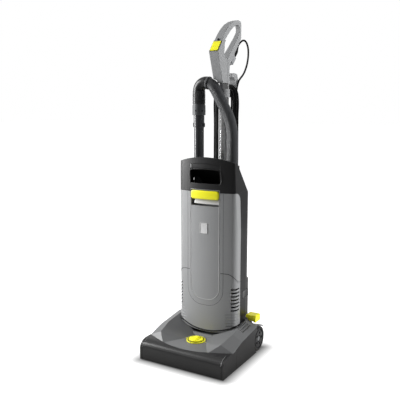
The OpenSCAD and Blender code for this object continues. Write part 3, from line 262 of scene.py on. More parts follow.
def add(tree, kind, **settings):
    """A new node. A setting whose name starts with in_ goes to the input of that name."""
    node = tree.nodes.new(kind)
    for key, value in settings.items():
        if key.startswith("in_"):
            put(tree, value, node.inputs[key[3:].replace("_", " ")])
        else:
            setattr(node, key, value)
    return node


def maths(tree, operation, a, b=0.5):
    node = add(tree, "ShaderNodeMath", operation=operation)
    put(tree, a, node.inputs[0])
    put(tree, b, node.inputs[1])
    return node.outputs[0]


def product(tree, first, *others):
    for other in others:
        first = maths(tree, "MULTIPLY", first, other)
    return first


def between(tree, value, low, high, to_low, to_high):
    return add(tree, "ShaderNodeMapRange", in_Value=value, in_From_Min=low, in_From_Max=high, in_To_Min=to_low,
               in_To_Max=to_high).outputs["Result"]


def mixed(tree, factor, a, b):
    """A mix of two colours."""
    node = add(tree, "ShaderNodeMix", data_type="RGBA")
    for index, value in ((0, factor), (6, a), (7, b)):
        put(tree, value, node.inputs[index])
    return node.outputs[2]


def dot(tree, a, b):
    node = add(tree, "ShaderNodeVectorMath", operation="DOT_PRODUCT")
    put(tree, a, node.inputs[0])
    put(tree, b, node.inputs[1])
    return node.outputs["Value"]


def noise(tree, scale, detail, stretch=None, roughness=0.5):
    """A noise value on the piece's own coordinates, drawn out along an axis by stretch."""
    place = add(tree, "ShaderNodeTexCoord").outputs["Object"]
    if stretch:
        place = add(tree, "ShaderNodeMapping", in_Vector=place, in_Scale=stretch).outputs[0]
    return add(tree, "ShaderNodeTexNoise", in_Vector=place, in_Scale=scale, in_Detail=detail,
               in_Roughness=roughness).outputs["Fac"]


print("group tools ready")

# %% The moulding group: grain, tone, rubbed edges and dust
VALUE = "NodeSocketFloat"
COLOUR = "NodeSocketColor"
moulding, given, out = new_group(
    "moulded surface",
    [("Colour", COLOUR, (0.2, 0.2, 0.2, 1)), ("Roughness", VALUE, 0.4), ("Grain size", VALUE, 900.0),
     ("Tone", VALUE, 0.06), ("Rubbed", VALUE, 0.3), ("Dust", VALUE, 0.15)],
    [("Colour", COLOUR), ("Roughness", VALUE), ("Height", VALUE)])
grain = noise(moulding, given.outputs["Grain size"], 2.0)
slow = noise(moulding, 7.0, 3.0)
scuff = noise(moulding, 60.0, 5.0, roughness=0.7)
soft_edge = add(moulding, "ShaderNodeBevel", samples=4, in_Radius=2.2 * MM)
plain_normal = add(moulding, "ShaderNodeNewGeometry").outputs["Normal"]
edge = between(moulding, dot(moulding, soft_edge.outputs[0], plain_normal), 0.995, 0.86, 0.0, 1.0)
scuffed = between(moulding, scuff, 0.42, 0.62, 0.0, 1.0)
rubbed = product(moulding, edge, scuffed, given.outputs["Rubbed"])
axes = add(moulding, "ShaderNodeSeparateXYZ", in_Vector=add(moulding, "ShaderNodeTexCoord").outputs["Object"])
low_down = between(moulding, axes.outputs["Z"], 0.16, 0.0, 0.0, 1.0)
dusty = product(moulding, low_down, scuff, given.outputs["Dust"])
wander = maths(moulding, "SUBTRACT", slow, 0.5)
tone = maths(moulding, "ADD", 1.0, product(moulding, wander, given.outputs["Tone"]))
toned = add(moulding, "ShaderNodeVectorMath", operation="SCALE", in_Scale=tone,
            in_Vector=given.outputs["Colour"])
worn = mixed(moulding, rubbed, toned.outputs[0], (0.55, 0.55, 0.54, 1))
dusted = mixed(moulding, dusty, worn, (0.42, 0.39, 0.34, 1))
moulding.links.new(dusted, out.inputs["Colour"])
uneven = maths(moulding, "ADD", given.outputs["Roughness"], product(moulding, wander, 0.16))
duller = maths(moulding, "ADD", product(moulding, rubbed, 0.2), product(moulding, dusty, 0.5))
moulding.links.new(maths(moulding, "ADD", uneven, duller), out.inputs["Roughness"])
moulding.links.new(grain, out.inputs["Height"])
print("group:", moulding.name, len(moulding.nodes), "nodes")


# %% [markdown]
# ## Finishes
# A finish is one Principled shader fed by the moulding group. Its normal comes from a Bevel node, which rounds
# every moulded edge in the light as a tool does in fact, and a Bump node lays the grain on top. Colours are
# written as the eye reads them and turned into linear light by one small function.


# %% Colours and the plastic finish
def shade(red, green, blue):
    """A colour given as 0 to 255, in linear light."""
    def one(c):
        c = c / 255
        return c / 12.92 if c <= 0.04045 else ((c + 0.055) / 1.055) ** 2.4
    return (one(red), one(green), one(blue), 1.0)


def new_finish(name):
    finish = bpy.data.materials.new(name)
    finish.use_nodes = True
    tree = finish.node_tree
    return finish, tree, tree.nodes["Principled BSDF"]


def scaled(colour, factor):
    return tuple(min(1.0, c * factor) for c in colour[:3]) + (1.0,)


def relief(tree, shader, height, strength, depth, edge=None, samples=4):
    """Lays a height over the shader's normal, and rounds the edges in the light by a radius in millimetres."""
    bump = add(tree, "ShaderNodeBump", in_Strength=strength, in_Distance=depth, in_Height=height)
    if edge:
        rounded = add(tree, "ShaderNodeBevel", samples=samples, in_Radius=edge * MM)
        tree.links.new(rounded.outputs[0], bump.inputs["Normal"])
    tree.links.new(bump.outputs[0], shader.inputs["Normal"])


def plastic(name, colour, roughness, grain=900.0, depth=0.00003, tone=0.08, rubbed=0.12, dust=0.05,
            edge=1.2, specular=0.5):
    finish, tree, shader = new_finish(name)
    surface = tree.nodes.new("ShaderNodeGroup")
    surface.node_tree = moulding
    for label, value in (("Colour", colour), ("Roughness", roughness), ("Grain size", grain), ("Tone", tone),
                         ("Rubbed", rubbed), ("Dust", dust)):
        surface.inputs[label].default_value = value
    tree.links.new(surface.outputs["Colour"], shader.inputs["Base Color"])
    tree.links.new(surface.outputs["Roughness"], shader.inputs["Roughness"])
    relief(tree, shader, surface.outputs["Height"], 0.6, depth, edge, 6)
    shader.inputs["Specular IOR Level"].default_value = specular
    return finish


black_foot = plastic("black foot plastic", shade(30, 30, 31), 0.3, dust=0.03)
black_body = plastic("black body plastic", shade(29, 29, 30), 0.38, dust=0.02, specular=0.38)
grey_shell = plastic("satin grey shell", shade(152, 153, 154), 0.32, rubbed=0.12, tone=0.05)
grey_cover = plastic("dark grey cover", shade(104, 105, 106), 0.42, rubbed=0.15)
grey_handle = plastic("light grey handle", shade(146, 147, 148), 0.5, edge=2.4, rubbed=0.1, specular=0.3)
grey_fitting = plastic("grey fitting", shade(140, 141, 143), 0.45)
yellow = plastic("yellow touch plastic", shade(255, 250, 36), 0.34, rubbed=0.05, tone=0.04, edge=2.0, dust=0.1)
dark_wand = plastic("dark glossy wand", shade(58, 59, 61), 0.2, edge=0.8, tone=0.1)
dark_fitting = plastic("dark fitting", shade(47, 48, 50), 0.4)
grey_collar = plastic("grey collar plastic", shade(74, 75, 77), 0.45, edge=0.8)
black_fitting = plastic("black elbow plastic", shade(24, 24, 25), 0.34, specular=0.4)
inner_black = plastic("inner black plastic", shade(46, 47, 50), 0.5)
# Pale plastic. On the door's bead it is a painted highlight line, on the finger ramp painted light over shade.
pale_plastic_and_painted_light = plastic("pale plastic, painted light on bead and ramp", shade(214, 214, 214), 0.22, rubbed=0.02)
# Pale plastic for a dark rib and a dark ring, coloured pale as a painted highlight line.
pale_rib_painted_highlight = plastic("pale rib, painted highlight", shade(150, 151, 152), 0.16, rubbed=0.02)
sole_grey = plastic("sole plate plastic", shade(112, 115, 118), 0.4, rubbed=0.6, dust=0.4)
print("plastic finishes ready")


# %% [markdown]
# The steel tube is bright chrome: a metal with almost no colour, with faint marks along its length where the
# cord and hands rub it. The other metals have stronger marks and more colour.


# %% Metals
def metal(name, colour, roughness, marks=400.0, stretch=(1, 1, 0.05), spread=0.1, depth=0.00001):
    finish, tree, shader = new_finish(name)
    streak = noise(tree, marks, 3.0, stretch)
    cloud = noise(tree, 14.0, 2.0)
    rough = maths(tree, "ADD", between(tree, streak, 0.4, 0.6, roughness, roughness + spread),
                  between(tree, cloud, 0.4, 0.7, 0.0, spread))
    tree.links.new(rough, shader.inputs["Roughness"])
    tree.links.new(mixed(tree, cloud, colour, scaled(colour, 1.1)), shader.inputs["Base Color"])
    relief(tree, shader, streak, 0.3, depth, 0.4)
    shader.inputs["Metallic"].default_value = 1.0
    return finish


chrome = metal("chrome tube", shade(250, 250, 251), 0.24, marks=60.0, spread=0.02, depth=0.000001)
steel = metal("zinc plated steel", shade(190, 192, 194), 0.25)
aluminium = metal("turned aluminium", shade(186, 188, 191), 0.32, stretch=(1, 0.05, 1))
brass = metal("plug pin brass", shade(205, 176, 105), 0.22)
print("metal finishes ready")


# %% [markdown]
# Rubber, cord and hose are soft plastics. The tyre has a coarser, drier grain. The cord's jacket is smooth
# with a dull sheen. The hose is smooth too, with ridges along it that are so shallow that they only soften its
# sheen. A sine of the hose's own UV map makes them.


# %% Rubber, hose, cord, card, paper and bristle
def ridged(name, colour, roughness, ridges, depth):
    """Soft plastic with shallow ridges that run along the piece, counted round it."""
    finish, tree, shader = new_finish(name)
    uv = add(tree, "ShaderNodeTexCoord").outputs["UV"]
    split = add(tree, "ShaderNodeSeparateXYZ", in_Vector=uv)
    angle = product(tree, split.outputs[1], ridges * 2 * math.pi)
    cloud = noise(tree, 35.0, 4.0)
    dull = between(tree, cloud, 0.35, 0.7, roughness - 0.05, roughness + 0.08)
    tree.links.new(dull, shader.inputs["Roughness"])
    tree.links.new(mixed(tree, cloud, scaled(colour, 0.8), colour), shader.inputs["Base Color"])
    relief(tree, shader, maths(tree, "SINE", angle), 0.5, depth)
    return finish


def fibrous(name, colour, roughness, scale, stretch, depth, sheen=0.0):
    """Paper, felt, card or bristle: fibres in one direction."""
    finish, tree, shader = new_finish(name)
    fibre = noise(tree, scale, 6.0, stretch, 0.65)
    tree.links.new(mixed(tree, fibre, scaled(colour, 0.72), colour), shader.inputs["Base Color"])
    dull = between(tree, fibre, 0.3, 0.7, roughness - 0.08, roughness + 0.05)
    tree.links.new(dull, shader.inputs["Roughness"])
    relief(tree, shader, fibre, 0.7, depth)
    shader.inputs["Sheen Weight"].default_value = sheen
    return finish


tyre_rubber = plastic("tyre rubber", shade(23, 23, 24), 0.62, grain=500.0, depth=0.0001, dust=0.15, rubbed=0.1)
hub_plastic = plastic("wheel hub plastic", shade(44, 45, 47), 0.4, dust=0.06)
seal_rubber = plastic("seal rubber", shade(14, 14, 15), 0.7, grain=500.0, depth=0.00008, specular=0.2)
lip_black = plastic("black lip", shade(13, 13, 14), 0.42, specular=0.3)
plate_black = plastic("bare plate", shade(40, 40, 41), 0.22, rubbed=0.02)
seal_black = plastic("connector black", shade(18, 18, 19), 0.5, grain=500.0, specular=0.3)
hose_plastic = ridged("hose plastic", shade(66, 67, 69), 0.42, 90, 0.0002)
short_hose_plastic = ridged("short hose plastic", shade(44, 45, 47), 0.5, 40, 0.0001)
cord_jacket = ridged("cord jacket", shade(10, 10, 11), 0.7, 1, 0.0)
filter_paper = fibrous("filter paper", shade(214, 203, 178), 0.85, 90.0, (1, 1, 0.3), 0.0004)
filter_felt = fibrous("filter felt", shade(226, 226, 220), 0.9, 260.0, (1, 1, 1), 0.0005, sheen=0.3)
card = fibrous("grey card", shade(182, 154, 104), 0.8, 160.0, (1, 0.3, 1), 0.0002)
bristle_nylon = fibrous("bristle nylon", shade(28, 28, 30), 0.4, 500.0, (1, 1, 1), 0.0001)
print("soft finishes ready")

# %% [markdown]
# Each rigid part of the frame gets one of these finishes by its name.

# %% Give each finished part of the frame its material
FINISHES = {
    black_foot: ["front_hood", "rear_base"],
    grey_cover: ["nozzle_cover"],
    sole_grey: ["sole_plate"],
    yellow: ["dial_ring", "height_knob", "door_latch", "switch_button", "release_pedal"],
    inner_black: ["roller_carriage", "brush_bearings", "foot_duct", "lower_duct", "wand_socket", "hose_inlet"],
    dark_fitting: ["brush_core", "roller_left", "roller_right", "wand_clips"],
    grey_collar: ["wand_collar"],
    black_fitting: ["wand_elbow"],
    aluminium: ["brush_pulley", "motor_pulley", "suction_fan", "brush_motor", "suction_motor"],
    seal_rubber: ["drive_belt", "door_seal"],
    tyre_rubber: ["wheel_tyre_left", "wheel_tyre_right"],
    hub_plastic: ["wheel_hub_left", "wheel_hub_right"],
    steel: ["wheel_axles", "pivot_pins", "sole_screws", "pedal_pin", "tube_screws"],
    black_body: ["rear_housing", "top_cap", "mains_plug"],
    grey_shell: ["front_shell", "motor_cover", "bag_door"],
    card: ["bag_collar"],
    filter_felt: ["motor_filter", "exhaust_filter"],
    chrome: ["handle_tube"],
    grey_handle: ["handle_body", "upper_hook"],
    grey_fitting: ["cord_socket", "lower_hook"],
    dark_wand: ["wand_tube"],
    hose_plastic: ["hose_cuff"],
    seal_black: ["cord_connector"],
}
for finish, names in FINISHES.items():
    for name in names:
        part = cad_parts[name]
        part.data.materials.clear()
        part.data.materials.append(finish)
print("parts with a finish:", sum(len(names) for names in FINISHES.values()))

# %% [markdown]
# ## The mains cord
# The cord leaves the connector under the handle, makes an open loop, and runs down to a hank of long turns over
# the two hooks behind the machine. The plug hangs inside the turns. A cord is a curve through chosen points,
# with a round bevel for its jacket. The lead's points are listed, and the turns come from a formula:
# each turn goes up the right side, over the upper hook, down the left and round the lower hook. The turns of
# one layer spiral out and those of the next spiral in.

# %% The cord's route
CORD_D = 7.2
HANK_X, HANK_Y = -14, 124
HANK_TOP, HANK_LOW = 940, 440
HANK_R, HANK_PITCH = 29, 7.9
HANK_LAYERS, HANK_TURNS = 4, 2
RINGS = 24
PLUG_X, PLUG_Y, PLUG_TOP = -10, 137, 560
LEAD = [
    (0, 201.8, 1126.1), (0, 207.8, 1132.1), (1.5, 221, 1142.5), (4, 233, 1150), (6, 246, 1152),
    (8, 258, 1147), (9, 267.5, 1136.5), (10, 273, 1121), (10.6, 273, 1103), (11.4, 268.5, 1084),
    (12.4, 260, 1066), (13.6, 247, 1048), (15, 231, 1032), (16.4, 213, 1019), (17.4, 195, 1009),
    (18.2, 179, 998), (18.4, 167, 981), (18.2, 160, 960), (17.8, 157, 935), (17, 156, 900),
    (16.4, 155, 840), (15.4, 152, 770), (15.1, 149.2, 724)]
TAIL = [(0, 0, 0), (0, 0, 8), (1, -0.6, 26), (6, -4, 50), (14, -9.4, 74), (21, -12.4, 98)]


def hank_radius(turn):
    layer = math.floor(turn / HANK_TURNS)
    share = turn / HANK_TURNS - layer
    return HANK_R + HANK_PITCH * HANK_TURNS * (share if layer % 2 == 0 else 1 - share)


def hank_point(i):
    turn = min(i / RINGS, HANK_LAYERS * HANK_TURNS - 0.0001)
    k = i % RINGS
    r = hank_radius(turn)
    middle, run = (HANK_TOP + HANK_LOW) / 2, (HANK_TOP - HANK_LOW) / 2
    if k < 3:
        x, z = r, middle + run * k / 3
    elif k <= 10:
        a = math.radians(180 * (k - 3) / 7)
        x, z = r * math.cos(a), HANK_TOP + r * math.sin(a)
    elif k < 15:
        x, z = -r, HANK_TOP - 2 * run * (k - 10) / 5
    elif k <= 22:
        a = math.radians(180 * (k - 15) / 7)
        x, z = -r * math.cos(a), HANK_LOW - r * math.sin(a)
    else:
        x, z = r, HANK_LOW + run * (k - 22) / 2
    return (HANK_X + x, HANK_Y + HANK_PITCH * math.floor(turn / HANK_TURNS), z)


hank = [hank_point(i) for i in range(HANK_LAYERS * HANK_TURNS * RINGS + 1)]
tail = [(PLUG_X + x, PLUG_Y + y, PLUG_TOP + z) for x, y, z in TAIL]
hank_end = Vector(hank[-1])
cord_route = LEAD + [tuple(hank_end + Vector((0, 0, 10)))] + hank[::-1] + tail[::-1]
print("cord points:", len(cord_route))


# %% A curve through points
def tube_through(name, route, radius, steps=6, ring=3, widths=None):
    curve = bpy.data.curves.new(name, "CURVE")
    curve.dimensions = "3D"
    curve.resolution_u = steps
    curve.bevel_depth = radius * MM
    curve.bevel_resolution = ring
    curve.use_fill_caps = True
    spline = curve.splines.new("BEZIER")
    spline.bezier_points.add(len(route) - 1)
    for i, (point, place) in enumerate(zip(spline.bezier_points, route)):
        point.co = Vector(place) * MM
        point.handle_left_type = point.handle_right_type = "AUTO"
        if widths:
            point.radius = widths[i]
    tube = bpy.data.objects.new(name, curve)
    bpy.context.scene.collection.objects.link(tube)
    return tube


mains_cord = tube_through("mains_cord", cord_route, CORD_D / 2)
mains_cord.data.materials.append(cord_jacket)
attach(mains_cord, "upright")
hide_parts("cord_lead", "cord_hank")
print("mains cord:", len(mains_cord.data.splines[0].bezier_points), "points")

# %% [markdown]
# The plug is a moulded block with grooves for the fingers and a tapered boot, and three pins. Its block starts
# as a cube that is cut across at equal steps. Every other ring of its sides is pulled in for a groove, its
# upper end is drawn in, and its edges are rounded. The boot is a cone with two rings pulled in the same way.

# %% The plug and its pins
PLUG_HALF, PLUG_DEEP, PLUG_FOOT, PLUG_HEAD, PLUG_STEP = 16, 10.5, PLUG_TOP - 46, PLUG_TOP - 12, 4.25
BOOT_FOOT, BOOT_STEP = PLUG_TOP - 13, 3.4
PIN_SIDE, PIN_TOP, PIN_TIP, EARTH_TIP = 6.4, PLUG_TOP - 45, PLUG_TOP - 62, PLUG_TOP - 63.5
plug_body = block("plug_body", (PLUG_X - PLUG_HALF, PLUG_Y - PLUG_DEEP, PLUG_FOOT),
                  (PLUG_X + PLUG_HALF, PLUG_Y + PLUG_DEEP, PLUG_HEAD))
for cut in range(1, 8):
    cut_across(plug_body, (PLUG_X, PLUG_Y, PLUG_FOOT + PLUG_STEP * cut), (0, 0, 1))
pick_faces(plug_body, lambda c, n: abs(n.z) < 0.5 and int((c.z - PLUG_FOOT) / PLUG_STEP) in (2, 4, 6))
push_out(-0.9)
pick_faces(plug_body, lambda c, n: n.z > 0.9 and c.z > BOOT_FOOT)
bpy.ops.transform.resize(value=(0.62, 0.78, 1))
bevel_all(plug_body, 1.0, 2)
boot = round_bar("plug_boot", 7.5, (PLUG_X, PLUG_Y, BOOT_FOOT), (PLUG_X, PLUG_Y, PLUG_TOP + 4), 32, 4.0)
for cut in range(1, 5):
    cut_across(boot, (PLUG_X, PLUG_Y, BOOT_FOOT + BOOT_STEP * cut), (0, 0, 1))
pick_faces(boot, lambda c, n: abs(n.z) < 0.9 and int((c.z - BOOT_FOOT) / BOOT_STEP) in (1, 3))
push_out(-0.8)
bevel_all(boot, 0.3, 2)
plug_body = join([plug_body, boot], "plug_body")
finish_piece(plug_body, cord_jacket, "upright")
pins = [block("pin", (PLUG_X + side * PIN_SIDE - 0.8, PLUG_Y - 3.2, PIN_TIP),
              (PLUG_X + side * PIN_SIDE + 0.8, PLUG_Y + 3.2, PIN_TOP)) for side in (-1, 1)]
pins.append(round_bar("pin", 2.3, (PLUG_X, PLUG_Y - 6.5, EARTH_TIP), (PLUG_X, PLUG_Y - 6.5, PIN_TOP), 24))
for pin in pins:
    bevel_all(pin, 0.5, 2)
plug_pins = finish_piece(join(pins, "plug_pins"), brass, "upright")
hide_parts("mains_plug")
print("plug faces:", len(plug_body.data.polygons))

# %% [markdown]
# ## The hose
# The hose leaves the cuff on the wand, bends over and goes down into the cap. On the machine its lower end
# stays with the body when the wand turns; here it is one mesh, tied to neither. A curve makes a good round
# tube of any bend, and converting it to a mesh keeps its UV map, whose U runs along the hose and V round it.

# %% The hose's route and tube
WAND_X, WAND_Y = -80, 50
HOSE_R = 20
CUFF_END, CUFF_HEADING = (-11.93, 963.7), 60
HOSE_RUN, HOSE_BEND = 90, 200
INLET_X, HOSE_END_Z = 60, 690.3


def on_bend(centre, radius, degrees):
    a = math.radians(degrees)
    return (centre[0] + radius * math.sin(a), WAND_Y, centre[1] + radius * math.cos(a))


heading = math.radians(CUFF_HEADING)
run_end = (CUFF_END[0] + HOSE_RUN * math.cos(heading), CUFF_END[1] - HOSE_RUN * math.sin(heading))
bend_centre = (run_end[0] - HOSE_BEND * math.sin(heading), run_end[1] - HOSE_BEND * math.cos(heading))
hose_route = [(CUFF_END[0] + HOSE_RUN * k / 4 * math.cos(heading), WAND_Y,
               CUFF_END[1] - HOSE_RUN * k / 4 * math.sin(heading)) for k in range(4)]
hose_route += [on_bend(bend_centre, HOSE_BEND, CUFF_HEADING + (90 - CUFF_HEADING) * k / 6) for k in range(7)]
hose_route += [(INLET_X, WAND_Y, z) for z in (767, 745, 718, HOSE_END_Z)]


def curve_to_mesh(tube):
    make_active(tube)
    bpy.ops.object.convert(target="MESH")
    return bpy.context.object


hose = curve_to_mesh(tube_through("suction_hose", hose_route, HOSE_R, steps=10, ring=14))
finish_piece(hose, hose_plastic, None, smooth=60)
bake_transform(hose)
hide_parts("hose")

# %% [markdown]
# A short hose joins the foot's duct to the body, behind the foot. On the machine it bends when the body leans
# back; here it is made the same way, as one mesh tied to neither. Its rings are a little change of width from
# point to point.

# %% The short hose between the foot and the body
SHORT_ROUTE = [(0, 6, 36), (0, 13, 36.6), (0, 25, 40), (0, 36, 49), (0, 44.5, 61), (0, 48.8, 73), (0, 50, 83),
               (0, 50, 91.7)]
guide = tube_through("short_hose", [(WAND_X + x, y, z) for x, y, z in SHORT_ROUTE], 17.6, ring=8,
                     widths=[1.0, 0.95, 1.0, 0.95, 1.0, 0.95, 1.0, 1.0])
short_hose = curve_to_mesh(guide)
finish_piece(short_hose, short_hose_plastic, None, smooth=60)
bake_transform(short_hose)
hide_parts("foot_hose")
print("short hose faces:", len(short_hose.data.polygons))

# %% [markdown]
# ## Trim on the front
# The front is a slice of a large drum, so anything that lies on it has to bow with it. A plate for it starts as
# a small upright rectangle, which is spun through a few degrees round the drum's own axis. A bead or a seam is
# a thin curve laid on the same drum. The drum's corners turn back to the sides with a small radius.

# %% Plates and lines that follow the drum
DRUM_R, DRUM_Y = 330, 280
CORNER_X, CORNER_Y, CORNER_R = 96, -14.5, 20.8
BODY_HALF = 117


def on_drum(x, z, out):
    a = math.asin(x / DRUM_R)
    return ((DRUM_R + out) * math.sin(a), DRUM_Y - (DRUM_R + out) * math.cos(a), z)


def on_corner(degrees):
    """The x and y of a point on the right corner, from 0 at the drum to 90 at the side."""
    a = math.radians(degrees)
    return CORNER_X + CORNER_R * math.sin(a), CORNER_Y - CORNER_R * math.cos(a)


def bowed(name, x0, x1, z0, z1, inner, outer, steps=24):
    """A plate on the drum between two heights, from inner to outer millimetres out from its surface."""
    a0, a1 = (math.asin(x / DRUM_R) for x in (x0, x1))
    deselect()
    middle = Vector(on_drum(x0, (z0 + z1) / 2, (inner + outer) / 2)) * MM
    bpy.ops.mesh.primitive_plane_add(size=1, location=middle, rotation=(math.pi / 2, 0, a0 - math.pi / 2))
    bpy.context.object.scale = ((outer - inner) * MM, (z1 - z0) * MM, 1)
    piece = started(name)
    pick_faces(piece, lambda centre, facing: True)
    bpy.ops.mesh.spin(steps=steps, angle=a0 - a1, center=Vector((0, DRUM_Y, 0)) * MM, axis=(0, 0, 1))
    bpy.ops.mesh.select_all(action="SELECT")
    bpy.ops.mesh.remove_doubles(threshold=0.00001)
    bpy.ops.mesh.normals_make_consistent(inside=False)
    deselect()
    return piece


def u_line(half, low, high, corner, out):
    """Points down one side of a U on the drum, round its lower corners and up the other side."""
    line = [(-half, high), (-half, (high + low) / 2), (-half, low + corner)]
    for side, start in ((-1, 180), (1, 270)):
        for k in range(1 if side < 0 else 0, 7):
            a = math.radians(start + 15 * k)
            line.append((side * (half - corner) + corner * math.cos(a), low + corner + corner * math.sin(a)))
    line += [(half, (high + low) / 2), (half, high)]
    return [on_drum(x, z, out) for x, z in line]


def bead(name, route, radius, finish, body):
    line = curve_to_mesh(tube_through(name, route, radius, steps=8))
    return finish_piece(line, finish, body, smooth=60)


print("drum tools ready")

# %% [markdown]
# The door carries a small bare plate with a shallow tray in its face, and a bead inside its edge whose pale
# colour is a painted highlight line. A dark seam in the shell frames the door at a little distance.

# %% The door's plate, bead and seam
DOOR_HALF, DOOR_LOW, DOOR_HIGH, DOOR_CORNER = 60, 206, 611, 46
FRAME_WIDE, FRAME_DROP = 13, 20
BEAD_IN = 2.2
door_plate = bowed("door_plate", -18, 14, 452, 490, -0.8, 0.8)
sink(door_plate, lambda c, n: n.y < -0.9 and c.y < -48, 1.6, 0.5)
bevel_all(door_plate, 0.35, 2)
finish_piece(door_plate, pale_plastic_and_painted_light, "door")
# The bead's pale colour is a painted highlight line along the door's edge.
edge_route = u_line(DOOR_HALF - BEAD_IN, DOOR_LOW + BEAD_IN, DOOR_HIGH - 30, DOOR_CORNER - BEAD_IN, -0.2)
edge_bead = bead("door_edge_bead", edge_route, 0.9, pale_plastic_and_painted_light, "door")
frame_route = u_line(DOOR_HALF + FRAME_WIDE, DOOR_LOW - FRAME_DROP, DOOR_HIGH - 12, DOOR_CORNER + FRAME_WIDE,
                     -0.55)
frame_seam = bead("door_frame_seam", frame_route, 0.7, seal_rubber, "upright")
print("trim on the drum:", door_plate.name, edge_bead.name, frame_seam.name)

# %% [markdown]
# The hand window in the cap has a dark lip, and a brow behind its upper edge that closes the view through the
# cap. Below the latch, a pale ramp in the door's recess leads the fingers in. Its pale colour is painted light
# over the shade in the recess. Its lower side is moved forward, so that it slopes.

# %% The window and the finger ramp
WINDOW_HALF, WINDOW_LOW, WINDOW_HIGH, WINDOW_ARCH = 61, 632, 684, 6
ARCH_FOOT = WINDOW_HIGH - WINDOW_ARCH
window_line = [(-WINDOW_HALF, WINDOW_LOW), (WINDOW_HALF, WINDOW_LOW), (WINDOW_HALF, ARCH_FOOT)]
for degrees in range(20, 180, 20):
    a = math.radians(degrees)
    window_line.append((WINDOW_HALF * math.cos(a), ARCH_FOOT + WINDOW_ARCH * math.sin(a)))
window_line += [(-WINDOW_HALF, ARCH_FOOT), (-WINDOW_HALF, WINDOW_LOW)]
lip_route = [on_drum(x, z, -0.6) for x, z in window_line]
lip = bead("window_lip", lip_route, 1.6, lip_black, "upright")
brow = bowed("window_brow", -60.6, 60.6, 685, 708, -9.5, -3.6, 20)
pick_faces(brow, lambda c, n: n.z < -0.9)
bpy.ops.mesh.inset(thickness=0.6 * MM, depth=0)
bevel_all(brow, 0.6, 2)
finish_piece(brow, black_body, "upright")
# The ramp's pale colour is painted light over the shade in the recess.
ramp = bowed("finger_ramp", -46, 57, 559, 574.5, -16, -9, 20)
pick_faces(ramp, lambda c, n: n.z < -0.9)
bpy.ops.transform.translate(value=(0, -6 * MM, 0))
bevel_all(ramp, 0.8, 3)
finish_piece(ramp, pale_plastic_and_painted_light, "door")
print("window and ramp:", lip.name, brow.name, ramp.name)

# %% [markdown]
# A dark round bead follows the lower edge of the body, where it stands in the foot's valley. It is painted
# shadow: a dark thing laid in the gap between the body and the cover, where shade falls. The edge dips in the
# middle as a wide arc does, and the bead rises a little more than the edge towards the sides. The cover of the
# motor ends in a seam that is level and then curves down round each corner.

# %% The line under the body, the cover's seams and the side plate
BODY_EDGE_HALF, BODY_EDGE_Z, BODY_EDGE_DIP = 118, 100, 15
SHADOW_BEAD_LIFT, SHADOW_BEAD_RISE = 4.4, 11
SEAM_Z, SEAM_R, SEAM_X = 311, 34, 84


def body_edge_height(x):
    dip_r = (BODY_EDGE_HALF ** 2 + BODY_EDGE_DIP ** 2) / (2 * BODY_EDGE_DIP)
    return BODY_EDGE_Z + dip_r - BODY_EDGE_DIP - math.sqrt(dip_r ** 2 - x ** 2)


def seam_height(x):
    return SEAM_Z - SEAM_R + math.sqrt(SEAM_R ** 2 - max(0, x - SEAM_X) ** 2)


shadow_bead_line = [on_drum(x, body_edge_height(x), -1.2) for x in range(-94, 95, 4)]
for side in (-1, 1):
    corner = []
    for degrees in (25, 50, 75, 90):
        x, y = on_corner(degrees)
        corner.append((side * x, y, body_edge_height(CORNER_X + 20 * math.sin(math.radians(degrees)))))
    corner.append((side * 116.9, 5, body_edge_height(BODY_HALF)))
    shadow_bead_line = shadow_bead_line + corner if side > 0 else corner[::-1] + shadow_bead_line
shadow_bead_route = [(x, y, z + SHADOW_BEAD_LIFT + SHADOW_BEAD_RISE * (x / BODY_HALF) ** 2) for x, y, z in shadow_bead_line]
# A dark bead as painted shadow in the gap under the body.
shadow_gap_bead = bead("painted_shadow_gap_bead", shadow_bead_route, 3.0, lip_black, "upright")
for side, word in ((-1, "left"), (1, "right")):
    seam_line = [on_drum(side * x, seam_height(x), -0.2) for x in (64, 70, 77, 84, 88, 92, 96)]
    for degrees in (20, 40, 60, 80):
        x, y = on_corner(degrees)
        seam_line.append((side * x, y, seam_height(x)))
    bead("cover_seam_" + word, seam_line, 0.9, lip_black, "upright")
side_plate = block("side_plate", (117.6, 26, 206), (118.7, 74, 234))
sink(side_plate, lambda c, n: n.x > 0.9, 1.5, 0.4)
bevel_all(side_plate, 0.3, 2)
finish_piece(side_plate, plate_black, "upright")
print("body trim:", shadow_gap_bead.name, side_plate.name)

# %% [markdown]
# The foot's hood is one round nose between two end caps. A dark seam runs over the nose at each cap, with a
# glossy rib beside it whose pale colour is a painted highlight, and a short upright seam marks each cap's back
# edge.

# %% The hood's seams and ribs
HOOD_FRONT, HOOD_DEEP, HOOD_NOSE, HOOD_TOP, HOOD_SEAM_X = -217, 40, 44, 72.5, 161.5
CAP_SEAM_X, CAP_SEAM_Y = 169.7, -121.7
hood_line = [(HOOD_FRONT, 8), (HOOD_FRONT, HOOD_NOSE / 2 + 4)]
for k in range(9):
    a = math.radians(180 - 11.25 * k)
    hood_line.append((HOOD_FRONT + HOOD_DEEP + HOOD_DEEP * math.cos(a),
                      HOOD_NOSE + (HOOD_TOP - HOOD_NOSE) * math.sin(a)))


def hood_strip(name, route, radius, steps=6):
    return curve_to_mesh(tube_through(name, route, radius, steps))


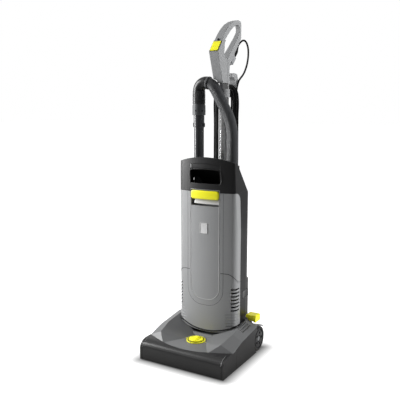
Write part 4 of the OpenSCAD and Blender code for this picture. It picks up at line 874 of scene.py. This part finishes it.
seams, ribs = [], []
for side in (-1, 1):
    seams.append(hood_strip("hood_seam", [(side * HOOD_SEAM_X, y + 0.25, z - 0.25) for y, z in hood_line], 1.2))
    seams.append(hood_strip("side_seam", [(side * CAP_SEAM_X, CAP_SEAM_Y, z) for z in (6, 30, 56)], 0.7, 4))
    rib_route = [(side * (HOOD_SEAM_X - 2.0), y + 0.4, z - 0.4) for y, z in hood_line[3:]]
    ribs.append(hood_strip("hood_rib", rib_route, 0.8))
hood_seams = finish_piece(join(seams, "hood_seams"), lip_black, "foot", smooth=60)
hood_ribs = finish_piece(join(ribs, "hood_ribs"), pale_rib_painted_highlight, "foot", smooth=60)
print("hood trim:", hood_seams.name, hood_ribs.name)

# %% [markdown]
# ## The latch
# The latch is a padded bar that stands proud of the door. It is spun like the plates, its four corners are
# rounded with a wide bevel, and its rim with a soft one. Two insets raise the middle of its face.

# %% The latch
LATCH_HALF, LATCH_LOW, LATCH_HIGH = 57, 576, 606.6
latch = bowed("door_latch_bar", -LATCH_HALF, LATCH_HALF, LATCH_LOW, LATCH_HIGH, -4.4, 1.2, 8)
pick_edges(latch, lambda a, b: min(abs(a.x), abs(b.x)) > LATCH_HALF - 1.5 and
           abs(a.z - b.z) < 1 and (a - b).length > 4)
bpy.ops.mesh.bevel(offset=9 * MM, segments=6)
pick_faces(latch, lambda c, n: n.y < -0.8 and c.y < -38)
bpy.ops.mesh.inset(thickness=3.2 * MM, depth=1.1 * MM)
bpy.ops.mesh.inset(thickness=3.5 * MM, depth=0.5 * MM)
bevel_all(latch, 1.2, 3, 8)
finish_piece(latch, yellow, "latch", smooth=60)
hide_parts("door_latch")
print("latch faces:", len(latch.data.polygons))

# %% [markdown]
# ## The bag
# The dust bag is paper, folded with a gusset down each narrow side. It starts as a cube that is cut across at
# seven heights, and along its length. The middle of each narrow side is pushed in for the gusset, the rings
# near the bag's ends are drawn in, and a small cloud pattern crumples the paper.

# %% Fold the bag
BAG_LOW, BAG_HIGH = (-43, -17, 330), (101, 69, 553)
GUSSET = 13
bag_middle = Vector([(a + b) / 2 for a, b in zip(BAG_LOW, BAG_HIGH)])
bag = block("paper_bag", BAG_LOW, BAG_HIGH)
for share in (0.06, 0.14, 0.3, 0.5, 0.7, 0.86, 0.94):
    cut_across(bag, (0, 0, BAG_LOW[2] + share * (BAG_HIGH[2] - BAG_LOW[2])), (0, 0, 1))
for cut in (-30, 0, 30):
    cut_across(bag, (bag_middle.x + cut, 0, 0), (1, 0, 0))
cut_across(bag, (0, bag_middle.y, 0), (0, 1, 0))


def on_fold(point, rim):
    """Whether a point lies on the middle line of the narrow side at rim, away from the bag's ends."""
    return (abs(point.x - rim) < 1 and abs(point.y - bag_middle.y) < 1 and
            BAG_LOW[2] + 5 < point.z < BAG_HIGH[2] - 5)


for side in (-1, 1):
    rim = BAG_HIGH[0] if side > 0 else BAG_LOW[0]
    pick_edges(bag, lambda a, b: on_fold(a, rim) and on_fold(b, rim))
    bpy.ops.transform.translate(value=(-side * GUSSET * MM, 0, 0))
for low, high, across, deep in ((325, 332, 0.9, 0.55), (551, 556, 0.84, 0.5), (342, 346, 1.0, 0.9),
                                (538, 541, 0.97, 0.84)):
    pick_edges(bag, lambda a, b: low < a.z < high and low < b.z < high)
    bpy.ops.transform.resize(value=(across, deep, 1), center_override=bag_middle * MM)
bevel_all(bag, 3.0, 2, 25)
make_active(bag)
fine = bag.modifiers.new("fine", "SUBSURF")
fine.levels = fine.render_levels = 3
bpy.ops.object.modifier_apply(modifier=fine.name)
creases = bpy.data.textures.new("creases", "CLOUDS")
creases.noise_scale = 0.03
creases.noise_depth = 3
crumple = bag.modifiers.new("crumple", "DISPLACE")
crumple.texture = creases
crumple.texture_coords = "LOCAL"
crumple.strength = 4 * MM
crumple.mid_level = 0.75
bpy.ops.object.modifier_apply(modifier=crumple.name)
finish_piece(bag, filter_paper, "upright", smooth=50)
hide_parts("filter_bag")
print("bag faces:", len(bag.data.polygons))

# %% [markdown]
# ## The bristles
# Each tuft of the brush is a bundle of stiff nylon hairs that spreads a little towards its tip. One tuft is
# made from thin cones, and its copies are turned round the roller's axis in two spiral rows.

# %% Bundle the bristles
BRUSH_Y, BRUSH_Z, BRUSH_HALF = -160, 33.5, 146
CORE_R, BRISTLE_TOP = 15, 31.4
TUFTS, TUFT_TURN = 28, 8
HAIRS, HAIR_TURN = 15, 137.5
hairs = []
for k in range(HAIRS):
    a = math.radians(HAIR_TURN * k)
    foot_r, tip_r = 0.52 * math.sqrt(k), 0.66 * math.sqrt(k)
    foot = (foot_r * math.cos(a), foot_r * math.sin(a), CORE_R - 0.6)
    tip = (tip_r * math.cos(a), tip_r * math.sin(a), BRISTLE_TOP - 0.1 * (k % 4))
    hairs.append(round_bar("hair", 0.34, foot, tip, 7, 0.24))
tuft = join(hairs, "brush_hairs")
rows = []
for side in (0, 180):
    for k in range(TUFTS):
        turn = Matrix.Rotation(math.radians(side + k * TUFT_TURN), 3, "X")
        x = 10 - BRUSH_HALF + k * (2 * BRUSH_HALF - 20) / (TUFTS - 1)
        rows.append(copy_of(tuft, "tuft", (x, BRUSH_Y, BRUSH_Z), turn))
bpy.data.objects.remove(tuft)
bristles = finish_piece(join(rows, "brush_hairs"), bristle_nylon, "brush", smooth=60)
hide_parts("brush_bristles")
print("bristle faces:", len(bristles.data.polygons))

# %% [markdown]
# ## Trim on the wand
# The elbow's neck has fine ribs to grip, and a clamp ring holds the hose's cuff; the ring's pale colour is a
# painted highlight. The collar has small square holes, drawn as dark plates on its face: painted shade in
# place of openings.

# %% Ribs, rings and windows
def ring(name, centre, axis, major, minor, finish, body, slot, sides=48):
    deselect()
    turn = Vector(axis).to_track_quat("Z", "Y").to_euler()
    bpy.ops.mesh.primitive_torus_add(location=Vector(centre) * MM, rotation=turn, major_segments=sides,
                                     minor_segments=12, major_radius=major * MM, minor_radius=minor * MM)
    return finish_piece(started(name), finish, body, smooth=60)


NECK_R, NECK_LOW, NECK_PITCH, NECK_RIBS = 22.9, 913.5, 4.2, 11
first = ring("neck_rib", (WAND_X, WAND_Y, NECK_LOW), (0, 0, 1), NECK_R, 0.9, dark_wand, "wand", "dark_plastic")
ribs = [first] + [copy_of(first, "neck_rib", (0, 0, NECK_PITCH * k)) for k in range(1, NECK_RIBS)]
neck_ribs = finish_piece(join(ribs, "neck_ribs"), dark_wand, "wand", smooth=60)
# Each dark plate is painted shade that stands for a square hole in the collar.
hole_shades = []
for azimuth in (-90, -30, 30, 150):
    plate = block("window", (23.2, -2.7, 883.5), (24.35, 2.7, 888.9))
    bevel_all(plate, 0.3, 2)
    turn = Matrix.Rotation(math.radians(azimuth), 3, "Z")
    hole_shades.append(carried(plate, "collar_hole_shade", (WAND_X, WAND_Y, 0), turn))
collar_hole_shades = finish_piece(join(hole_shades, "collar_hole_shades"), seal_rubber, "wand")
ELBOW_BEND, ELBOW_Z, ELBOW_TURN = 30, 958, 105
a = math.radians(ELBOW_TURN)
# The clamp ring's pale colour is a painted highlight.
clamp_at = (WAND_X + ELBOW_BEND - ELBOW_BEND * math.cos(a), WAND_Y, ELBOW_Z + ELBOW_BEND * math.sin(a))
clamp = ring("cuff_clamp", clamp_at, (math.sin(a), 0, math.cos(a)), 21.6, 1.5, pale_rib_painted_highlight, "wand",
             "dark_plastic")
print("wand trim:", neck_ribs.name, collar_hole_shades.name, clamp.name)

# %% [markdown]
# The height dial on the foot has a dark groove round its knob and a small yellow mark on each side.

# %% The dial's groove and marks
DIAL_Y, DIAL_TOP, GROOVE_R, MARK_X = -108, 73, 28.6, 40
groove = ring("dial_groove", (0, DIAL_Y, DIAL_TOP), (0, 0, 1), GROOVE_R, 1.5, lip_black, "foot",
              "black_plastic", 72)
marks = []
for x in (-MARK_X, MARK_X):
    mark = block("mark", (x - 3, DIAL_Y - 1.2, DIAL_TOP - 3.4), (x + 3, DIAL_Y + 1.2, DIAL_TOP - 2.2))
    bevel_all(mark, 0.4, 2)
    marks.append(mark)
dial_marks = finish_piece(join(marks, "dial_marks"), yellow, "foot")
print("dial trim:", groove.name, dial_marks.name)

# %% [markdown]
# ## Trim on the handle
# The switch sits in a dark frame, a screw stands above it, and the cord's connector has ribs for the fingers.
# The frame and the screw are made lying flat, and then tilted into place.

# %% The switch's frame, a screw and the connector's ribs
SWITCH_AT, SWITCH_TILT = Vector((0, 30.5, 1112.5)), 49.8
NEAR_X, FAR_X, NEAR_Y, FAR_Y = 15.5, 17.6, 22.5, 24.6
tilt = Matrix.Rotation(math.radians(SWITCH_TILT), 3, "X")
frame_bars = [block("bar", low + (-1,), high + (1,)) for low, high in (
    ((-FAR_X, -FAR_Y), (FAR_X, -NEAR_Y)), ((-FAR_X, NEAR_Y), (FAR_X, FAR_Y)),
    ((-FAR_X, -FAR_Y), (-NEAR_X, FAR_Y)), ((NEAR_X, -FAR_Y), (FAR_X, FAR_Y)))]
for bar in frame_bars:
    bevel_all(bar, 0.4, 2)
switch_frame = carried(join(frame_bars, "switch_frame_flat"), "switch_frame", SWITCH_AT, tilt)
finish_piece(switch_frame, black_body, "upright")
SCREW_R, SCREW_Y = 4.8, 31.5
screw_flat = round_bar("screw_flat", SCREW_R, (0, SCREW_Y, -1.5), (0, SCREW_Y, 2.0), 40)
sink(screw_flat, lambda c, n: n.z > 0.9, 2.2, 1.4)
bevel_all(screw_flat, 0.25, 2)
handle_screw = carried(screw_flat, "handle_screw", SWITCH_AT, tilt)
finish_piece(handle_screw, seal_black, "upright")
SLEEVE_FOOT, SLEEVE_R = Vector((0, 162.31, 1086.66)), 10.2
along = Vector((0, 1, 1)).normalized()
first = ring("grip", SLEEVE_FOOT + 6 * along, along, SLEEVE_R, 0.9, seal_black, "upright", "cord_rubber")
grips = [first] + [copy_of(first, "grip", 5 * k * along) for k in range(1, 5)]
connector_ribs = finish_piece(join(grips, "connector_ribs"), seal_black, "upright", smooth=60)
print("handle trim:", switch_frame.name, handle_screw.name, connector_ribs.name)

# %% [markdown]
# ## The studio
# The machine stands on a white floor. One large soft lamp stands to its left and ahead and draws the bright
# side of the front mouldings and the highlight on the foot. Another stands to its right and a little behind
# and lights the side faces, and a weak one hangs over it. A faint white world fills the rest. The floor and the
# world add their own white for the camera, so that the ground stays white. Close round the foot that white and
# the floor's colour are turned down: a painted shadow. In mirrors both are brighter to the left and behind.


# %% Floor, world and lamps
BRIGHT_SIDE = (-0.8, 0.5, 0.0)
FOOT_HALF_X, FOOT_MIDDLE_Y, FOOT_HALF_Y = 0.165, -0.052, 0.16
PAINTED_SHADOW_REACH, PAINTED_SHADE_REACH = 0.055, 0.07
LAMP_AIM = Vector((0, 0, 0.6))


def soft_lamp(name, azimuth, distance, height, width, tall, power):
    a = math.radians(azimuth)
    place = Vector((math.sin(a) * distance, -math.cos(a) * distance, height))
    deselect()
    turn = (LAMP_AIM - place).to_track_quat("-Z", "Y").to_euler()
    bpy.ops.object.light_add(type="AREA", location=place, rotation=turn)
    lamp = bpy.context.object
    lamp.name = name
    lamp.data.shape = "RECTANGLE"
    lamp.data.size = width
    lamp.data.size_y = tall
    lamp.data.energy = power
    return lamp


def seen_by(tree):
    """What the camera sees, directly or through glass, and what a mirror sees."""
    seen = add(tree, "ShaderNodeLightPath")
    direct = maths(tree, "MAXIMUM", seen.outputs["Is Camera Ray"], seen.outputs["Is Transmission Ray"])
    return direct, seen.outputs["Is Glossy Ray"]


def studio_floor():
    deselect()
    bpy.ops.mesh.primitive_grid_add(x_subdivisions=8, y_subdivisions=8, size=60, location=(0, 0, -0.0005))
    floor = started("studio_floor")
    finish, tree, shader = new_finish("white floor")
    shader.inputs["Roughness"].default_value = 0.9
    shader.inputs["Specular IOR Level"].default_value = 0.1
    place = add(tree, "ShaderNodeTexCoord").outputs["Object"]
    split = add(tree, "ShaderNodeSeparateXYZ", in_Vector=place)
    beyond = []
    for axis, middle, half in (("X", 0.0, FOOT_HALF_X), ("Y", FOOT_MIDDLE_Y, FOOT_HALF_Y)):
        off = maths(tree, "ABSOLUTE", maths(tree, "SUBTRACT", split.outputs[axis], middle))
        beyond.append(maths(tree, "MAXIMUM", maths(tree, "SUBTRACT", off, half), 0.0))
    away = maths(tree, "SQRT", maths(tree, "ADD", *(product(tree, b, b) for b in beyond)))
    # Painted shadow: close round the foot the camera's white and the floor's colour fade down.
    glow_with_painted_shadow = between(tree, away, 0.0, PAINTED_SHADOW_REACH, 0.1, 1.0)
    painted_shadow_fade = between(tree, away, 0.0, PAINTED_SHADE_REACH, 0.0, 1.0)
    lit = mixed(tree, painted_shadow_fade, (0.13, 0.13, 0.13, 1), (0.5, 0.5, 0.5, 1))
    tree.links.new(lit, shader.inputs["Base Color"])
    mirrored = between(tree, dot(tree, place, BRIGHT_SIDE), -0.3, 2.4, 0.02, 0.7)
    direct, glossy = seen_by(tree)
    level = maths(tree, "ADD", product(tree, glow_with_painted_shadow, direct), product(tree, mirrored, glossy))
    tree.links.new(level, shader.inputs["Emission Strength"])
    shader.inputs["Emission Color"].default_value = (1, 1, 1, 1)
    floor.data.materials.append(finish)
    return floor


def studio_world(fill):
    world = bpy.data.worlds.new("studio")
    bpy.context.scene.world = world
    world.use_nodes = True
    tree = world.node_tree
    heading = add(tree, "ShaderNodeTexCoord").outputs["Generated"]
    mirrored = between(tree, dot(tree, heading, BRIGHT_SIDE), -0.3, 0.9, 0.05, 0.9)
    direct, glossy = seen_by(tree)
    level = maths(tree, "MAXIMUM", direct, product(tree, mirrored, glossy))
    level = maths(tree, "MAXIMUM", level, fill)
    tree.links.new(level, tree.nodes["Background"].inputs["Strength"])
    tree.nodes["Background"].inputs["Color"].default_value = (1, 1, 1, 1)


studio_floor()
studio_world(0.1)
soft_lamp("left_lamp", -68, 2.6, 1.5, 1.0, 2.2, 130)
right_lamp = soft_lamp("right_lamp", 116, 2.4, 1.4, 0.8, 2.2, 75)
right_lamp.visible_glossy = False
soft_lamp("top_lamp", 10, 0.8, 3.0, 1.6, 1.6, 8)
bpy.context.scene.view_settings.view_transform = "Standard"
